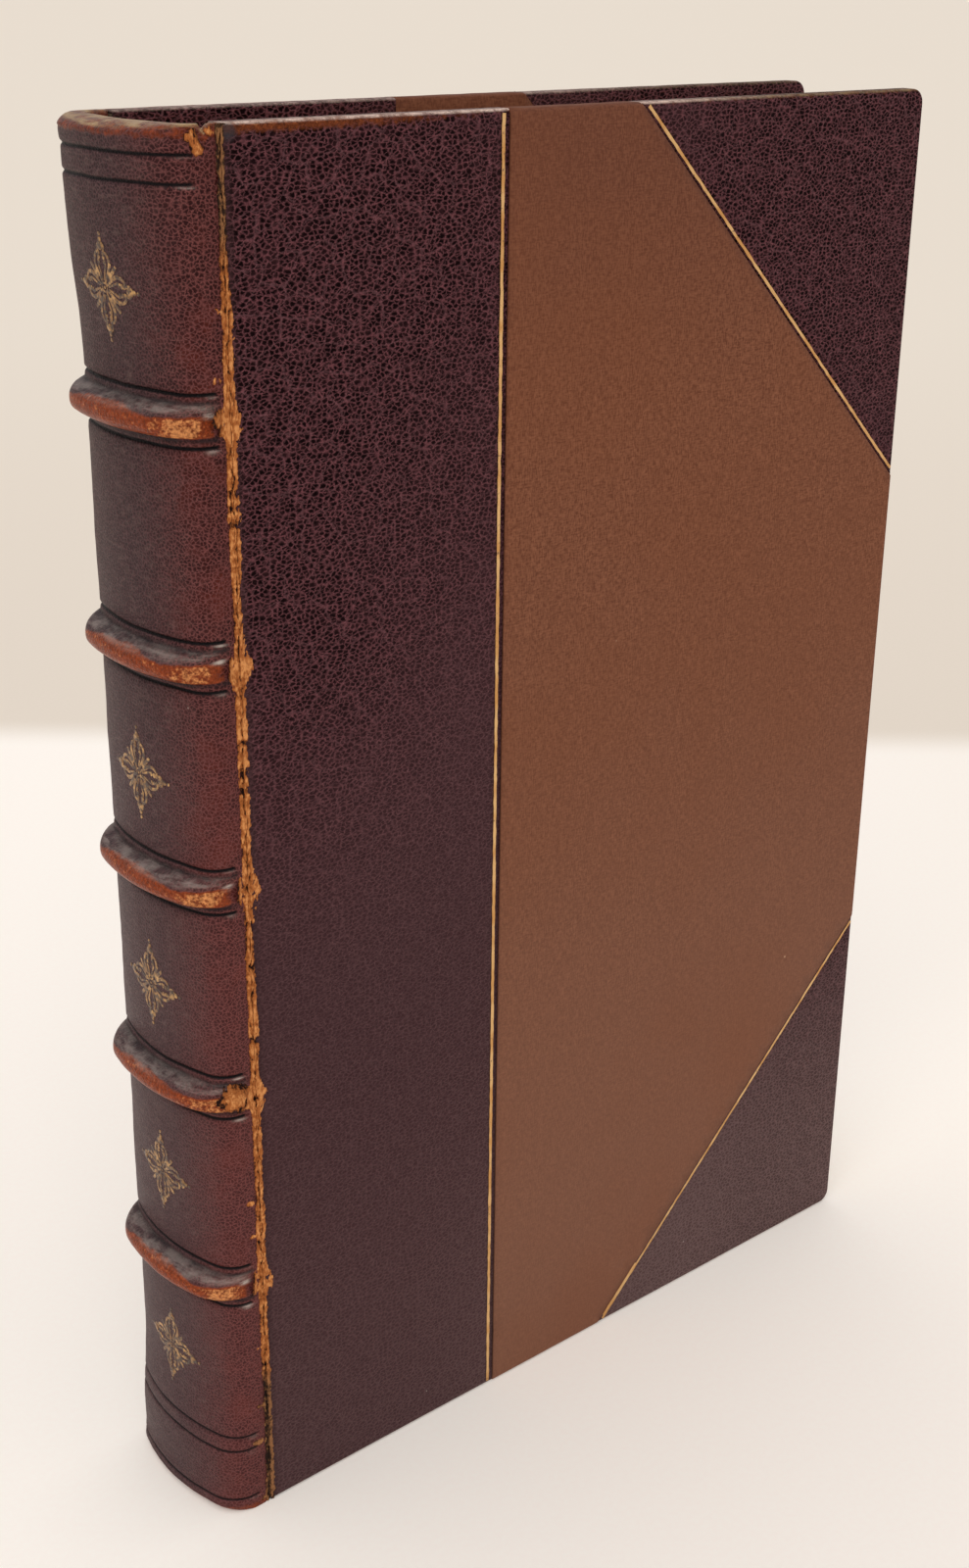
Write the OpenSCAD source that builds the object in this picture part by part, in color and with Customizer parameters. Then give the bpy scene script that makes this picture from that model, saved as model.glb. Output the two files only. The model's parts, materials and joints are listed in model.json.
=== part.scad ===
// Half-leather book with raised bands, standing on its tail edge, spine towards -X.
// X runs from spine to fore-edge, Y through the thickness (front cover at -Y), Z from tail to head.
// The origin is under the middle of the book, on the surface that it stands on.

/* [Boards] */
// Height of a covered board, tail to head
cover_h = 230; // [180:1:280]
// Width of a covered board, joint to fore-edge
cover_w = 147; // [125:1:180]
// Thickness of the bare millboard
board_t = 2.6; // [2:0.1:4]
// Rounding of the two outer corners of a board
corner_r = 2.5; // [1:0.5:5]
// Distance that the boards stand past the pages at head, tail and fore-edge
square = 3; // [2:0.5:5]

/* [Pages] */
// Thickness of the pages with both free endpapers
block_t = 23.8; // [16:0.2:32]
// Depth of the hollow in the fore-edge
fore_hollow = 4; // [1:0.5:6]
// Flat left at each side of the hollow
fore_land = 0.8; // [0.5:0.1:2]
// Thickness of one free endpaper
flyleaf_t = 0.25; // [0.15:0.05:0.5]
// Air between the free endpaper and the closed cover
page_gap = 0.2; // [0.1:0.05:0.5]

/* [Covering] */
// Thickness of the leather on a board
leather_t = 0.6; // [0.4:0.1:1]
// How far the cloth stands proud of the leather
cloth_proud = 0.15; // [0.05:0.05:0.3]
// Thickness of the covering on the board edges
edge_t = 0.6; // [0.4:0.1:1]
// Thickness of the pared turn-ins and of the pastedown
turn_in_t = 0.3; // [0.2:0.1:0.5]
// Width of the turn-ins on the inner face
turn_in_w = 12; // [8:1:18]
// Joint to the cloth, across the leather strip
strip_w = 50.8; // [35:0.2:65]
// Leg of a leather corner, measured to the cloth
corner_leg = 69.5; // [50:0.5:80]

/* [Gilt lines] */
// Width of a gilt fillet
gilt_w = 0.75; // [0.5:0.05:1.5]
// Distance from the middle of a fillet to the cloth
gilt_inset = 1.3; // [1:0.1:4]
// Depth to which a fillet is pressed into the leather
press_d = 0.12; // [0.1:0.02:0.3]
// Thickness of the gold in the pressed line
gold_t = 0.08; // [0.05:0.01:0.1]

/* [Spine] */
// Bulge of the spine past the joints
spine_round = 9; // [6:0.5:12]
// Radius of the rounded spine
spine_r = 37; // [28:1:60]
// Radius between the spine and each joint
shoulder_r = 4.5; // [4:0.5:6]
// Thickness of the spine leather
spine_t = 0.9; // [0.6:0.1:1.2]
// Thickness of the lining between the pages and the leather
lining_t = 0.6; // [0.3:0.1:1]
// Width that the leather rolls in over an endband
cap_w = 3.8; // [3:0.1:4]
// Thickness of the rolled leather over an endband
cap_t = 0.9; // [0.6:0.1:1.2]
// Flare of the headcap past the spine
head_flare = 0.6; // [0.2:0.1:2]
// Flare of the tailcap past the spine
tail_flare = 0.4; // [0.2:0.1:2]
// Radius of the bead along the edge of a cap
bead_r = 1.5; // [1.2:0.1:2]
// Height of an endband over the pages
endband_h = 2; // [1:0.1:2.1]

/* [Raised bands] */
// Number of raised bands
band_count = 5; // [3:1:6]
// Head of the book to the middle of the top band
head_panel = 39.5; // [32:0.5:50]
// Tail of the book to the middle of the lowest band
tail_panel = 46.5; // [40:0.5:55]
// How far a band stands past the spine
band_proud = 2.5; // [1.5:0.1:3]
// Height of a band
band_h = 4.5; // [3.5:0.1:6]

/* [Blind rules] */
// Width of a blind rule
rule_w = 0.6; // [0.4:0.1:1]
// Depth of a blind rule
rule_d = 0.3; // [0.1:0.05:0.5]
// Edge of a band to the rule beside it
rule_off = 1.4; // [0.8:0.1:3]
// Head to the two rules below it
head_rules = [3.9, 7.7];
// Tail to the rules above it
tail_rules = [2.7, 12.9, 15.8];

/* [Spine ornament] */
// Height and width of a gilt ornament
ornament_s = 15.4; // [10:0.2:20]
// Compartments with an ornament, counted from the head
ornament_rows = [0, 2, 3, 4, 5];
// Tail compartment: middle of its ornament above the tail
ornament_tail_z = 28.5; // [24:0.5:30]
// Height of each ornament over the middle of its compartment, as a share of the band spacing
ornament_lift = [0.03, 0, -0.047, -0.05, -0.022, 0];

/* [Joints] */
// Gap in the leather at each joint
joint_gap = 0.3; // [0.2:0.1:0.6]
// Room between the spine's sides and the plane of a cover that is laid fully open
side_gap = 0.2; // [0.1:0.1:0.5]

/* [Hidden] */
$fn = 64;
leather_c = [0.24, 0.08, 0.09];
cloth_c = [0.42, 0.23, 0.14];
gold_c = [0.80, 0.62, 0.28];
page_c = [0.88, 0.82, 0.68];
board_c = [0.55, 0.50, 0.42];
marble_c = [0.55, 0.40, 0.35];
silk_c = [0.75, 0.65, 0.35];
eps = 1;
joint_x = -(cover_w - spine_round - band_proud) / 2;
fore_x = joint_x + cover_w;
// Distances from the middle plane of the book, from the pages outwards
inner_y = block_t / 2 + page_gap;
board_in_y = inner_y + turn_in_t;
board_out_y = board_in_y + board_t;
leather_y = board_out_y + leather_t;
cloth_y = leather_y + cloth_proud;
spine_y = leather_y - side_gap;
// Pages
block_z0 = square;
block_z1 = cover_h - square;
block_x1 = fore_x - square;
leaf_y = block_t / 2 - flyleaf_t;
hollow_y = leaf_y - fore_land;
hollow_r = (hollow_y * hollow_y + fore_hollow * fore_hollow) / (2 * fore_hollow);
// Spine outline: one large arc that runs into a small arc at each shoulder
arc_x = joint_x + spine_r - spine_round;
spine_in = spine_t + lining_t;
bead_x = spine_r - bead_r;
// Bands
band_crest_r = band_h / 2;
band_pitch = (cover_h - head_panel - tail_panel) / (band_count - 1);
band_z = [for (i = [0:band_count - 1]) cover_h - head_panel - i * band_pitch];
rule_side = band_h / 2 + rule_off;
// Ornaments stand near the middle of their compartments, as a hand sets them
middles_z = [
  for (i = [0:band_count])
    i == 0 ? (band_z[0] + cover_h - head_rules[1]) / 2 :
    i == band_count ? ornament_tail_z : (band_z[i - 1] + band_z[i]) / 2
];
rows = [for (i = ornament_rows) if (i <= band_count) i];
rows_z = [for (i = rows) middles_z[i] + (i == band_count ? 0 : ornament_lift[i] * band_pitch)];

// Outline of the spine at an inset, in X and Y; grow pushes it out at the spine but not at the sides
module spine_outline(inset = 0, grow = 0) {
  r = spine_r + grow - inset;
  rs = shoulder_r + grow - inset;
  cy = spine_y - shoulder_r - grow;
  cx = sqrt(pow(spine_r - shoulder_r, 2) - cy * cy);
  ty = cy * r / (spine_r - shoulder_r);
  intersection() {
    translate([arc_x - spine_r - eps - grow, -spine_y])
      square([spine_r + eps + grow - (arc_x - joint_x) - joint_gap / 2, 2 * spine_y]);
    union() {
      intersection() {
        translate([arc_x, 0]) circle(r, $fn = 180);
        translate([arc_x - spine_r - grow, -ty]) square([spine_r + grow, 2 * ty]);
      }
      for (s = [-1, 1]) translate([arc_x - cx, s * cy]) circle(rs);
      translate([arc_x - cx, -spine_y + inset]) square([cx, 2 * (spine_y - inset)]);
    }
  }
}

// A solid turned about the spine's own axis from a profile of radius and height, cut to the outline
module spine_turned(inset = 0, grow = 0) {
  intersection() {
    translate([arc_x, 0, 0]) rotate_extrude($fn = 180) children();
    translate([0, 0, -eps]) linear_extrude(cover_h + 2 * eps) spine_outline(inset, grow);
  }
}

// Round-crested profile of a raised band, in radius and height
module band_profile(inset) {
  crest = band_crest_r - inset;
  crest_r = spine_r + band_proud - band_crest_r;
  translate([spine_r - spine_in, -crest]) square([crest_r - spine_r + spine_in, 2 * crest]);
  translate([crest_r, 0]) circle(crest);
}

// Bead along the edge of a headcap or tailcap
module cap_bead(flare) {
  translate([bead_x + flare, bead_r]) circle(bead_r);
}

// A shallow line pressed round the spine
module blind_rule(z) {
  translate([0, 0, z - rule_w / 2]) linear_extrude(rule_w) difference() {
    spine_outline(-eps);
    spine_outline(rule_d);
  }
}

module spine_leather() color(leather_c) {
  difference() {
    union() {
      linear_extrude(cover_h) spine_outline();
      for (z = band_z) spine_turned(0, band_proud) translate([0, z]) band_profile(0);
      spine_turned(0, tail_flare) cap_bead(tail_flare);
      spine_turned(0, head_flare) translate([0, cover_h]) mirror([0, 1]) cap_bead(head_flare);
    }
    translate([0, 0, cap_t]) linear_extrude(cover_h - 2 * cap_t) spine_outline(spine_t);
    translate([0, 0, -eps]) linear_extrude(cover_h + 2 * eps) spine_outline(cap_w);
    for (z = band_z) spine_turned(spine_t, band_proud) translate([0, z]) band_profile(spine_t);
    for (z = band_z, s = [-1, 1]) blind_rule(z + s * rule_side);
    for (z = head_rules) blind_rule(cover_h - z);
    for (z = tail_rules) blind_rule(z);
  }
}

// Cord under the leather of one raised band, seated on the lining
module band_core(i) color(page_c) {
  difference() {
    spine_turned(spine_t, band_proud) translate([0, band_z[i]]) band_profile(spine_t);
    linear_extrude(cover_h) spine_outline(spine_t);
  }
}

module spine_lining() color(page_c) {
  translate([0, 0, block_z0]) linear_extrude(block_z1 - block_z0) difference() {
    spine_outline(spine_t);
    spine_outline(spine_in);
  }
}

module text_block() color(page_c) {
  translate([0, 0, block_z0]) linear_extrude(block_z1 - block_z0) difference() {
    union() {
      spine_outline(spine_in);
      translate([joint_x - joint_gap, -leaf_y]) square([block_x1 - joint_x + joint_gap, 2 * leaf_y]);
    }
    translate([block_x1 + hollow_r - fore_hollow, 0]) circle(hollow_r, $fn = 180);
  }
}

module flyleaf() color(marble_c) {
  translate([joint_x + joint_gap, -block_t / 2, block_z0])
    cube([block_x1 - joint_x - joint_gap, flyleaf_t, block_z1 - block_z0]);
}

// Silk-covered roll along the edge of the pages, under the cap
module endband() color(silk_c) {
  spine_turned(spine_in) intersection() {
    translate([spine_r - spine_in - endband_h, 0]) circle(endband_h);
    translate([0, 0]) square([spine_r - spine_in, endband_h]);
  }
}

// Four-fold ornament: a ringed centre, four leaves, four scrolls between them and a finial at each tip
module ornament() {
  s = ornament_s / 2;
  difference() {
    circle(s * 0.17);
    circle(s * 0.09);
  }
  for (a = [0:90:270]) rotate(a) {
    translate([s * 0.36, 0]) scale([s, s]) leaf();
    translate([s * 0.66, 0]) circle(s * 0.09);
    translate([s * 0.80, 0]) circle(s * 0.06);
    translate([s * 0.90, 0]) rotate(45) square(s * 0.12, center = true);
    rotate(45) {
      translate([s * 0.22, -s * 0.03]) square([s * 0.2, s * 0.06]);
      for (m = [-1, 1]) translate([s * 0.48, m * s * 0.13]) difference() {
        circle(s * 0.14);
        circle(s * 0.08);
      }
    }
  }
}

module leaf() {
  intersection() {
    translate([0, 0.16]) circle(0.26);
    translate([0, -0.16]) circle(0.26);
  }
}

module spine_gilt() color(gold_c) {
  intersection() {
    translate([arc_x, 0, 0]) linear_extrude(cover_h) difference() {
      circle(spine_r + gold_t, $fn = 180);
      circle(spine_r, $fn = 180);
    }
    for (z = rows_z) translate([joint_x, 0, z]) rotate([0, -90, 0])
      linear_extrude(spine_round + 2 * eps) ornament();
  }
}

// A plate of the front cover between two distances from the middle plane, from an outline in X and Z
module slab(near, far) {
  rotate([90, 0, 0]) translate([0, 0, near]) linear_extrude(far - near) children();
}

// Outline of a covered board at an inset; start moves its edge at the joint
module cover_outline(inset = 0, start = 0) {
  r = max(corner_r - inset, 0.2);
  x0 = joint_x + joint_gap / 2 + start;
  x1 = fore_x - inset;
  z1 = cover_h - inset;
  translate([x0, inset]) square([x1 - r - x0, z1 - inset]);
  translate([x0, inset + r]) square([x1 - x0, z1 - inset - 2 * r]);
  for (z = [inset + r, z1 - r]) translate([x1 - r, z]) circle(r);
}

module board() color(board_c) {
  slab(board_in_y, board_out_y) cover_outline(edge_t);
}

// Covering of a whole board: its outer face, its three edges and the turn-ins
module covering(face_y) {
  difference() {
    slab(inner_y, face_y) cover_outline();
    slab(board_in_y, board_out_y) cover_outline(edge_t, -eps);
    slab(inner_y - eps, board_in_y) cover_outline(turn_in_w, -eps);
  }
}

// Triangle at the head or tail corner, with its long side at a distance from the corner
module corner_area(leg, top) {
  translate([fore_x, top ? cover_h : 0]) mirror([0, top ? 0 : 1])
    polygon([[-leg - eps, eps], [eps, eps], [eps, -leg - eps]]);
}

module strip_area(width) {
  translate([joint_x - eps, -eps]) square([width + eps, cover_h + 2 * eps]);
}

// Sloping line across a corner, centred at a leg length
module corner_line(leg, top) {
  intersection() {
    difference() {
      corner_area(leg + gilt_w * sqrt(1 / 2), top);
      corner_area(leg - gilt_w * sqrt(1 / 2), top);
    }
    cover_outline(edge_t);
  }
}

module strip_line() {
  intersection() {
    translate([joint_x + strip_w - gilt_inset - gilt_w / 2, 0]) square([gilt_w, cover_h]);
    cover_outline(edge_t);
  }
}

line_leg = corner_leg - gilt_inset * sqrt(2);

module leather_strip() color(leather_c) {
  difference() {
    intersection() {
      covering(leather_y);
      slab(0, cloth_y + eps) strip_area(strip_w);
    }
    slab(leather_y - press_d, leather_y + eps) strip_line();
  }
}

module leather_corner(top) color(leather_c) {
  difference() {
    intersection() {
      covering(leather_y);
      slab(0, cloth_y + eps) corner_area(corner_leg, top);
    }
    slab(leather_y - press_d, leather_y + eps) corner_line(line_leg, top);
  }
}

module cloth_side() color(cloth_c) {
  difference() {
    covering(cloth_y);
    slab(0, cloth_y + eps) {
      strip_area(strip_w);
      corner_area(corner_leg, true);
      corner_area(corner_leg, false);
    }
  }
}

module gilt_lines() color(gold_c) {
  slab(leather_y - press_d, leather_y - press_d + gold_t) {
    strip_line();
    corner_line(line_leg, true);
    corner_line(line_leg, false);
  }
}

module pastedown() color(marble_c) {
  slab(inner_y, board_in_y) cover_outline(turn_in_w);
}

// The back cover is the front cover's mirror image
module at_back() mirror([0, 1, 0]) children();

text_block();
flyleaf();  // front_flyleaf
at_back() flyleaf();  // back_flyleaf
spine_lining();
translate([0, 0, block_z1]) endband();  // head_endband
translate([0, 0, block_z0]) mirror([0, 0, 1]) endband();  // tail_endband
band_core(0);  // band_core_1
band_core(1);  // band_core_2
band_core(2);  // band_core_3
band_core(3);  // band_core_4
band_core(4);  // band_core_5
spine_leather();
spine_gilt();
board();  // front_board
leather_strip();  // front_leather
leather_corner(true);  // front_head_corner
leather_corner(false);  // front_tail_corner
cloth_side();  // front_cloth
gilt_lines();  // front_gilt
pastedown();  // front_pastedown
at_back() board();  // back_board
at_back() leather_strip();  // back_leather
at_back() leather_corner(true);  // back_head_corner
at_back() leather_corner(false);  // back_tail_corner
at_back() cloth_side();  // back_cloth
at_back() gilt_lines();  // back_gilt
at_back() pastedown();  // back_pastedown
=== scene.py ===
import json
import math
import random

import bmesh
import bpy
from mathutils import Matrix, Vector, noise


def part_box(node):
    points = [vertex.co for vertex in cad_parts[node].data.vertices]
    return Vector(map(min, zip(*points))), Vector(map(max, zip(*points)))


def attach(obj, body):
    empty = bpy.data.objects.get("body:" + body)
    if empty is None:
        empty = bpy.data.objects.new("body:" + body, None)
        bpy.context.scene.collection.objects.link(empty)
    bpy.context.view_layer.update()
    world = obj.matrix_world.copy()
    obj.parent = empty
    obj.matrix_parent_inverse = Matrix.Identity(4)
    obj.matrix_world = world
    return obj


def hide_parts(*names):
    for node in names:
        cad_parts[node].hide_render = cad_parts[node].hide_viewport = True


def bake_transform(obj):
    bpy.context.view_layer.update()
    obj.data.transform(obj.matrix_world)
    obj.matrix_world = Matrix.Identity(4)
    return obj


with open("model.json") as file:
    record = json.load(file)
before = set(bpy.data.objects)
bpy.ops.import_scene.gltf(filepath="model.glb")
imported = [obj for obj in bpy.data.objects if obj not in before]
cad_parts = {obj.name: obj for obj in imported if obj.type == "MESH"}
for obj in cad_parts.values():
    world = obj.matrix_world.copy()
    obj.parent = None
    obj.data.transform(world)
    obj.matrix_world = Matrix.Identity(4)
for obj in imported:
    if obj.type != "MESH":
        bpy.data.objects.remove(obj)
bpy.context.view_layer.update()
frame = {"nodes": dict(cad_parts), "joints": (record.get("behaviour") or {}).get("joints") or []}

# The view: a camera a little above the head of the book, looking down on the spine and the
# front cover, as the photograph was taken. Its long side is the picture's height.
MM = 0.001
CAMERA_PLACE = Vector((-222.2, -252.8, 250.7)) * MM
CAMERA_TURN = math.radians(40.35)
CAMERA_DIP = math.radians(22.23)
CAMERA_ROLL = math.radians(0.63)
CAMERA_LENS = 46.5

camera_data = bpy.data.cameras.new("camera")
camera_data.lens = CAMERA_LENS
camera_data.sensor_width = 36
camera_data.clip_start = 0.01
camera = bpy.data.objects.new("camera", camera_data)
bpy.context.collection.objects.link(camera)
camera.matrix_world = (
    Matrix.Translation(CAMERA_PLACE)
    @ Matrix.Rotation(-CAMERA_TURN, 4, "Z")
    @ Matrix.Rotation(math.pi / 2 - CAMERA_DIP, 4, "X")
    @ Matrix.Rotation(CAMERA_ROLL, 4, "Z")
)
bpy.context.scene.camera = camera
bpy.context.scene.view_settings.view_transform = "Standard"


# The floor: a pale matt table, a shade darker and warmer behind the book, with painted shade on its
# right. It glows faintly in its own tone, painted light that lifts the shade on it. Soft light comes
# from a wide sky, a large lamp high on the left and a faint one behind.
FLOOR_SIZE = 40.0
FAR_LINE = 0.656
FAR_SOFT = 0.014


def srgb(red, green, blue):
    """A colour as it looks on screen, 0 to 255, as the shader's own linear values."""
    def linear(value):
        value /= 255
        return value / 12.92 if value <= 0.04045 else ((value + 0.055) / 1.055) ** 2.4
    return (linear(red), linear(green), linear(blue), 1)


def plug(tree, sockets, values):
    """Sets each named socket, or links it where the value is another node's socket."""
    for name, value in values.items():
        if isinstance(value, bpy.types.NodeSocket):
            tree.links.new(value, sockets[name])
        else:
            sockets[name].default_value = value


def add(tree, kind, inputs=None, **settings):
    """A new shader node; inputs are values or the sockets that feed them."""
    made = tree.nodes.new("ShaderNode" + kind)
    for name, value in settings.items():
        setattr(made, name, value)
    plug(tree, made.inputs, inputs or {})
    return made


def between(tree, value, low, high, out_low=0.0, out_high=1.0):
    """A soft step: out_low where value is under low, out_high where it is over high."""
    spread = {"Value": value, "From Min": low, "From Max": high, "To Min": out_low, "To Max": out_high}
    return add(tree, "MapRange", spread, interpolation_type="SMOOTHSTEP").outputs[0]


def mix(tree, amount, first, second, kind="MIX"):
    """One colour over another, by an amount from 0 to 1."""
    return add(tree, "MixRGB", {0: amount, 1: first, 2: second}, blend_type=kind).outputs[0]


def cloud(tree, place, scale, detail=2.0, roughness=0.5):
    """Soft noise from 0 to 1."""
    settings = {"Vector": place, "Scale": scale, "Detail": detail, "Roughness": roughness}
    return add(tree, "TexNoise", settings).outputs[0]


def axes(tree, place):
    """The X, Y and Z of a place."""
    return add(tree, "SeparateXYZ", {0: place}).outputs


def material(name):
    """A material with a Principled shader, and the Object coordinates that its patterns read."""
    made = bpy.data.materials.new(name)
    made.use_nodes = True
    tree = made.node_tree
    shader = tree.nodes["Principled BSDF"]
    place = add(tree, "TexCoord").outputs["Object"]
    return made, tree, shader, place


def feed(tree, shader, **sockets):
    """Sets or links the Principled shader's inputs, named with _ for a space."""
    plug(tree, shader.inputs, {name.replace("_", " "): value for name, value in sockets.items()})


def mesh_object(name, bm, finish=None, smooth=True):
    """The bmesh as an object of the scene, with its material."""
    mesh = bpy.data.meshes.new(name)
    bm.to_mesh(mesh)
    bm.free()
    if smooth:
        mesh.shade_smooth()
    made = bpy.data.objects.new(name, mesh)
    bpy.context.collection.objects.link(made)
    if finish:
        mesh.materials.append(finish)
    return made


floor_mesh = bmesh.new()
bmesh.ops.create_grid(floor_mesh, x_segments=1, y_segments=1, size=FLOOR_SIZE / 2)
floor_finish, tree, shader, place = material("pale_floor")
turned = add(tree, "Mapping", {
    "Vector": place,
    "Location": (0, -(CAMERA_PLACE.x * math.sin(CAMERA_TURN) + CAMERA_PLACE.y * math.cos(CAMERA_TURN)), 0),
    "Rotation": (0, 0, CAMERA_TURN),
})
turned = axes(tree, turned.outputs[0])
away = turned["Y"]
near_tone = mix(tree, between(tree, away, 0.15, 0.6), srgb(246, 238, 228), srgb(244, 236, 226))
# Painted shade: the floor turns darker on the book's right.
right_shade = between(tree, turned["X"], 0.05, 0.30, 0.0, 0.6)
near_tone = mix(tree, right_shade, near_tone, srgb(228, 218, 206))
far_tone = mix(tree, between(tree, away, FAR_LINE, 1.6), srgb(217, 205, 190), srgb(222, 211, 196))
past = between(tree, away, FAR_LINE - FAR_SOFT, FAR_LINE + FAR_SOFT)
speckle = between(tree, cloud(tree, place, 900), 0.3, 0.7, 0.985, 1.0)
tone = mix(tree, past, near_tone, far_tone)
tone = mix(tree, 1.0, tone, speckle, "MULTIPLY")
# Painted light: the floor glows faintly in its own tone, lifting the shade on it.
feed(tree, shader, Base_Color=tone, Roughness=0.9, Specular_IOR_Level=0.1, Emission_Color=tone,
     Emission_Strength=0.16)
floor = mesh_object("floor", floor_mesh, floor_finish, smooth=False)

world = bpy.data.worlds.new("studio")
bpy.context.scene.world = world
world.use_nodes = True
tree = world.node_tree
tree.nodes.clear()
height = axes(tree, add(tree, "TexCoord").outputs["Generated"])["Z"]
sky = mix(tree, between(tree, height, -0.1, 0.9), srgb(190, 186, 184), srgb(252, 252, 255))
ambient = add(tree, "Background", {"Color": sky, "Strength": 0.80})
backdrop = add(tree, "Background", {"Color": srgb(231, 219, 204), "Strength": 1.0})
seen = add(tree, "LightPath").outputs["Is Camera Ray"]
both = add(tree, "MixShader", {0: seen, 1: ambient.outputs[0], 2: backdrop.outputs[0]})
add(tree, "OutputWorld", {"Surface": both.outputs[0]})

for name, come_from, strength, spread in (
    ("window_light", (-0.55, -0.50, 0.75), 0.85, 45),
    ("ceiling_light", (0.25, 0.45, 1.0), 0.25, 80),
):
    lamp_data = bpy.data.lights.new(name, "SUN")
    lamp_data.energy = strength
    lamp_data.angle = math.radians(spread)
    lamp = bpy.data.objects.new(name, lamp_data)
    bpy.context.collection.objects.link(lamp)
    lamp.rotation_euler = Vector(come_from).to_track_quat("Z", "Y").to_euler()


# The pages: one block of folded sections, rounded at the spine and hollow at the fore-edge. The CAD
# solid has the true form, so it stays and gets page edges: fine lines along each leaf, toned by age.
LEAF_PITCH = 0.11 * MM


def sums(tree, operation, first, second=0.0, third=0.0):
    """One step of arithmetic on values or sockets."""
    return add(tree, "Math", {0: first, 1: second, 2: third}, operation=operation).outputs[0]


def times(tree, first, second):
    """The product of two values or sockets."""
    return sums(tree, "MULTIPLY", first, second)


def stretched(tree, place, factors):
    """A place with each axis multiplied by its own factor."""
    return add(tree, "VectorMath", {0: place, 1: factors}, operation="MULTIPLY").outputs[0]


def bumped(tree, height, deep, strength=1.0):
    """A normal that follows a height pattern."""
    return add(tree, "Bump", {"Height": height, "Distance": deep, "Strength": strength}).outputs[0]


pages, tree, shader, place = material("page_edges")
leaf = axes(tree, place)["Y"]
ripple = stretched(tree, place, (6, 1, 6))
stack = add(tree, "CombineXYZ", {"Y": times(tree, leaf, 1 / LEAF_PITCH),
                                 "X": times(tree, cloud(tree, ripple, 30), 3.0)})
line = cloud(tree, stack.outputs[0], 1.0, 1.0)
section = cloud(tree, add(tree, "CombineXYZ", {"Y": times(tree, leaf, 700)}).outputs[0], 1.0, 0.0)
tone = mix(tree, between(tree, line, 0.3, 0.7), srgb(186, 160, 118), srgb(226, 208, 172))
tone = mix(tree, between(tree, section, 0.35, 0.75, 0.0, 0.45), tone, srgb(176, 146, 104))
aged = between(tree, cloud(tree, place, 40, 3), 0.45, 0.8, 0.0, 0.5)
tone = mix(tree, aged, tone, srgb(190, 158, 112))
bumps = bumped(tree, line, 0.05 * MM, 0.7)
feed(tree, shader, Base_Color=tone, Roughness=0.85, Normal=bumps, Specular_IOR_Level=0.25)


def dress(node, finish):
    """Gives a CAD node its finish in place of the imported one."""
    shown = frame["nodes"][node]
    shown.data.materials.clear()
    shown.data.materials.append(finish)


dress("text_block", pages)

# The lining and the cords of the raised bands: brown paper glued over the sewn backs, and hemp
# cords on top of it. Both are under the leather and show only through the open joint.
lining, tree, shader, place = material("brown_lining")
fibre = cloud(tree, place, 500, 4)
feed(tree, shader, Base_Color=mix(tree, fibre, srgb(60, 40, 28), srgb(96, 70, 48)), Roughness=0.9)
dress("spine_lining", lining)

cord, tree, shader, place = material("hemp_cord")
twist = add(tree, "TexWave", {"Vector": place, "Scale": 420, "Distortion": 2.0}, bands_direction="DIAGONAL")
feed(tree, shader, Base_Color=mix(tree, twist.outputs["Fac"], srgb(120, 98, 66), srgb(168, 144, 104)),
     Roughness=0.9, Normal=bumped(tree, twist.outputs["Fac"], 0.1 * MM))
for number in range(1, 6):
    dress(f"band_core_{number}", cord)

# The boards: pressed millboard, hidden by the covering except at their edge inside each joint.
millboard, tree, shader, place = material("millboard")
flat_way = stretched(tree, place, (1, 9, 1))
layer = cloud(tree, flat_way, 350, 4)
feed(tree, shader, Base_Color=mix(tree, layer, srgb(58, 42, 32), srgb(112, 92, 70)), Roughness=0.9)
dress("front_board", millboard)
dress("back_board", millboard)

# Leather effects that the spine, the strips and the corners share. The grain is goatskin: dark pits
# within a net of paler ridges, crossed by slanting creases. In the colours given to it, the pits' darkness
# is partly painted shade and the ridges' pale mauve partly a painted sheen. Wear rubs the dye down to
# brown and tan.
GRAIN_CELLS = 1220
CREASE_CELLS = 330
CREASE_SLANT = math.radians(50)
CREASE_LONG = 1.9
GRAIN_WANDER = 0.8 * MM


def effect(name, takes, gives):
    """A shader node group with named inputs and outputs, and its two end nodes."""
    group = bpy.data.node_groups.new(name, "ShaderNodeTree")
    for label, kind, value in takes:
        socket = group.interface.new_socket(label, in_out="INPUT", socket_type=f"NodeSocket{kind}")
        if value is not None:
            socket.default_value = value
    for label, kind in gives:
        group.interface.new_socket(label, in_out="OUTPUT", socket_type=f"NodeSocket{kind}")
    start = group.nodes.new("NodeGroupInput")
    end = group.nodes.new("NodeGroupOutput")
    return group, start.outputs, end.inputs


grain, takes, gives = effect(
    "goat_grain",
    [("Place", "Vector", None), ("Scale", "Float", 1.0), ("Stretch", "Vector", (1, 1, 1))],
    [("Pits", "Float"), ("Creases", "Float"), ("Height", "Float"), ("Fleck", "Float")],
)
spread = stretched(grain, takes["Place"], takes["Stretch"])
spread = add(grain, "VectorMath", {0: spread, "Scale": takes["Scale"]}, operation="SCALE").outputs[0]
wander = add(grain, "TexNoise", {"Vector": spread, "Scale": 1700, "Detail": 2}).outputs["Color"]
wander = add(grain, "VectorMath", {0: wander, 1: (0.5, 0.5, 0.5)}, operation="SUBTRACT").outputs[0]
wander = add(grain, "VectorMath", {0: wander, "Scale": GRAIN_WANDER}, operation="SCALE").outputs[0]
bent = add(grain, "VectorMath", {0: spread, 1: wander}, operation="ADD").outputs[0]
cells = add(grain, "TexVoronoi", {"Vector": bent, "Scale": GRAIN_CELLS}, voronoi_dimensions="2D")
walls = add(grain, "TexVoronoi", {"Vector": bent, "Scale": GRAIN_CELLS}, feature="DISTANCE_TO_EDGE",
            voronoi_dimensions="2D")
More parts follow.
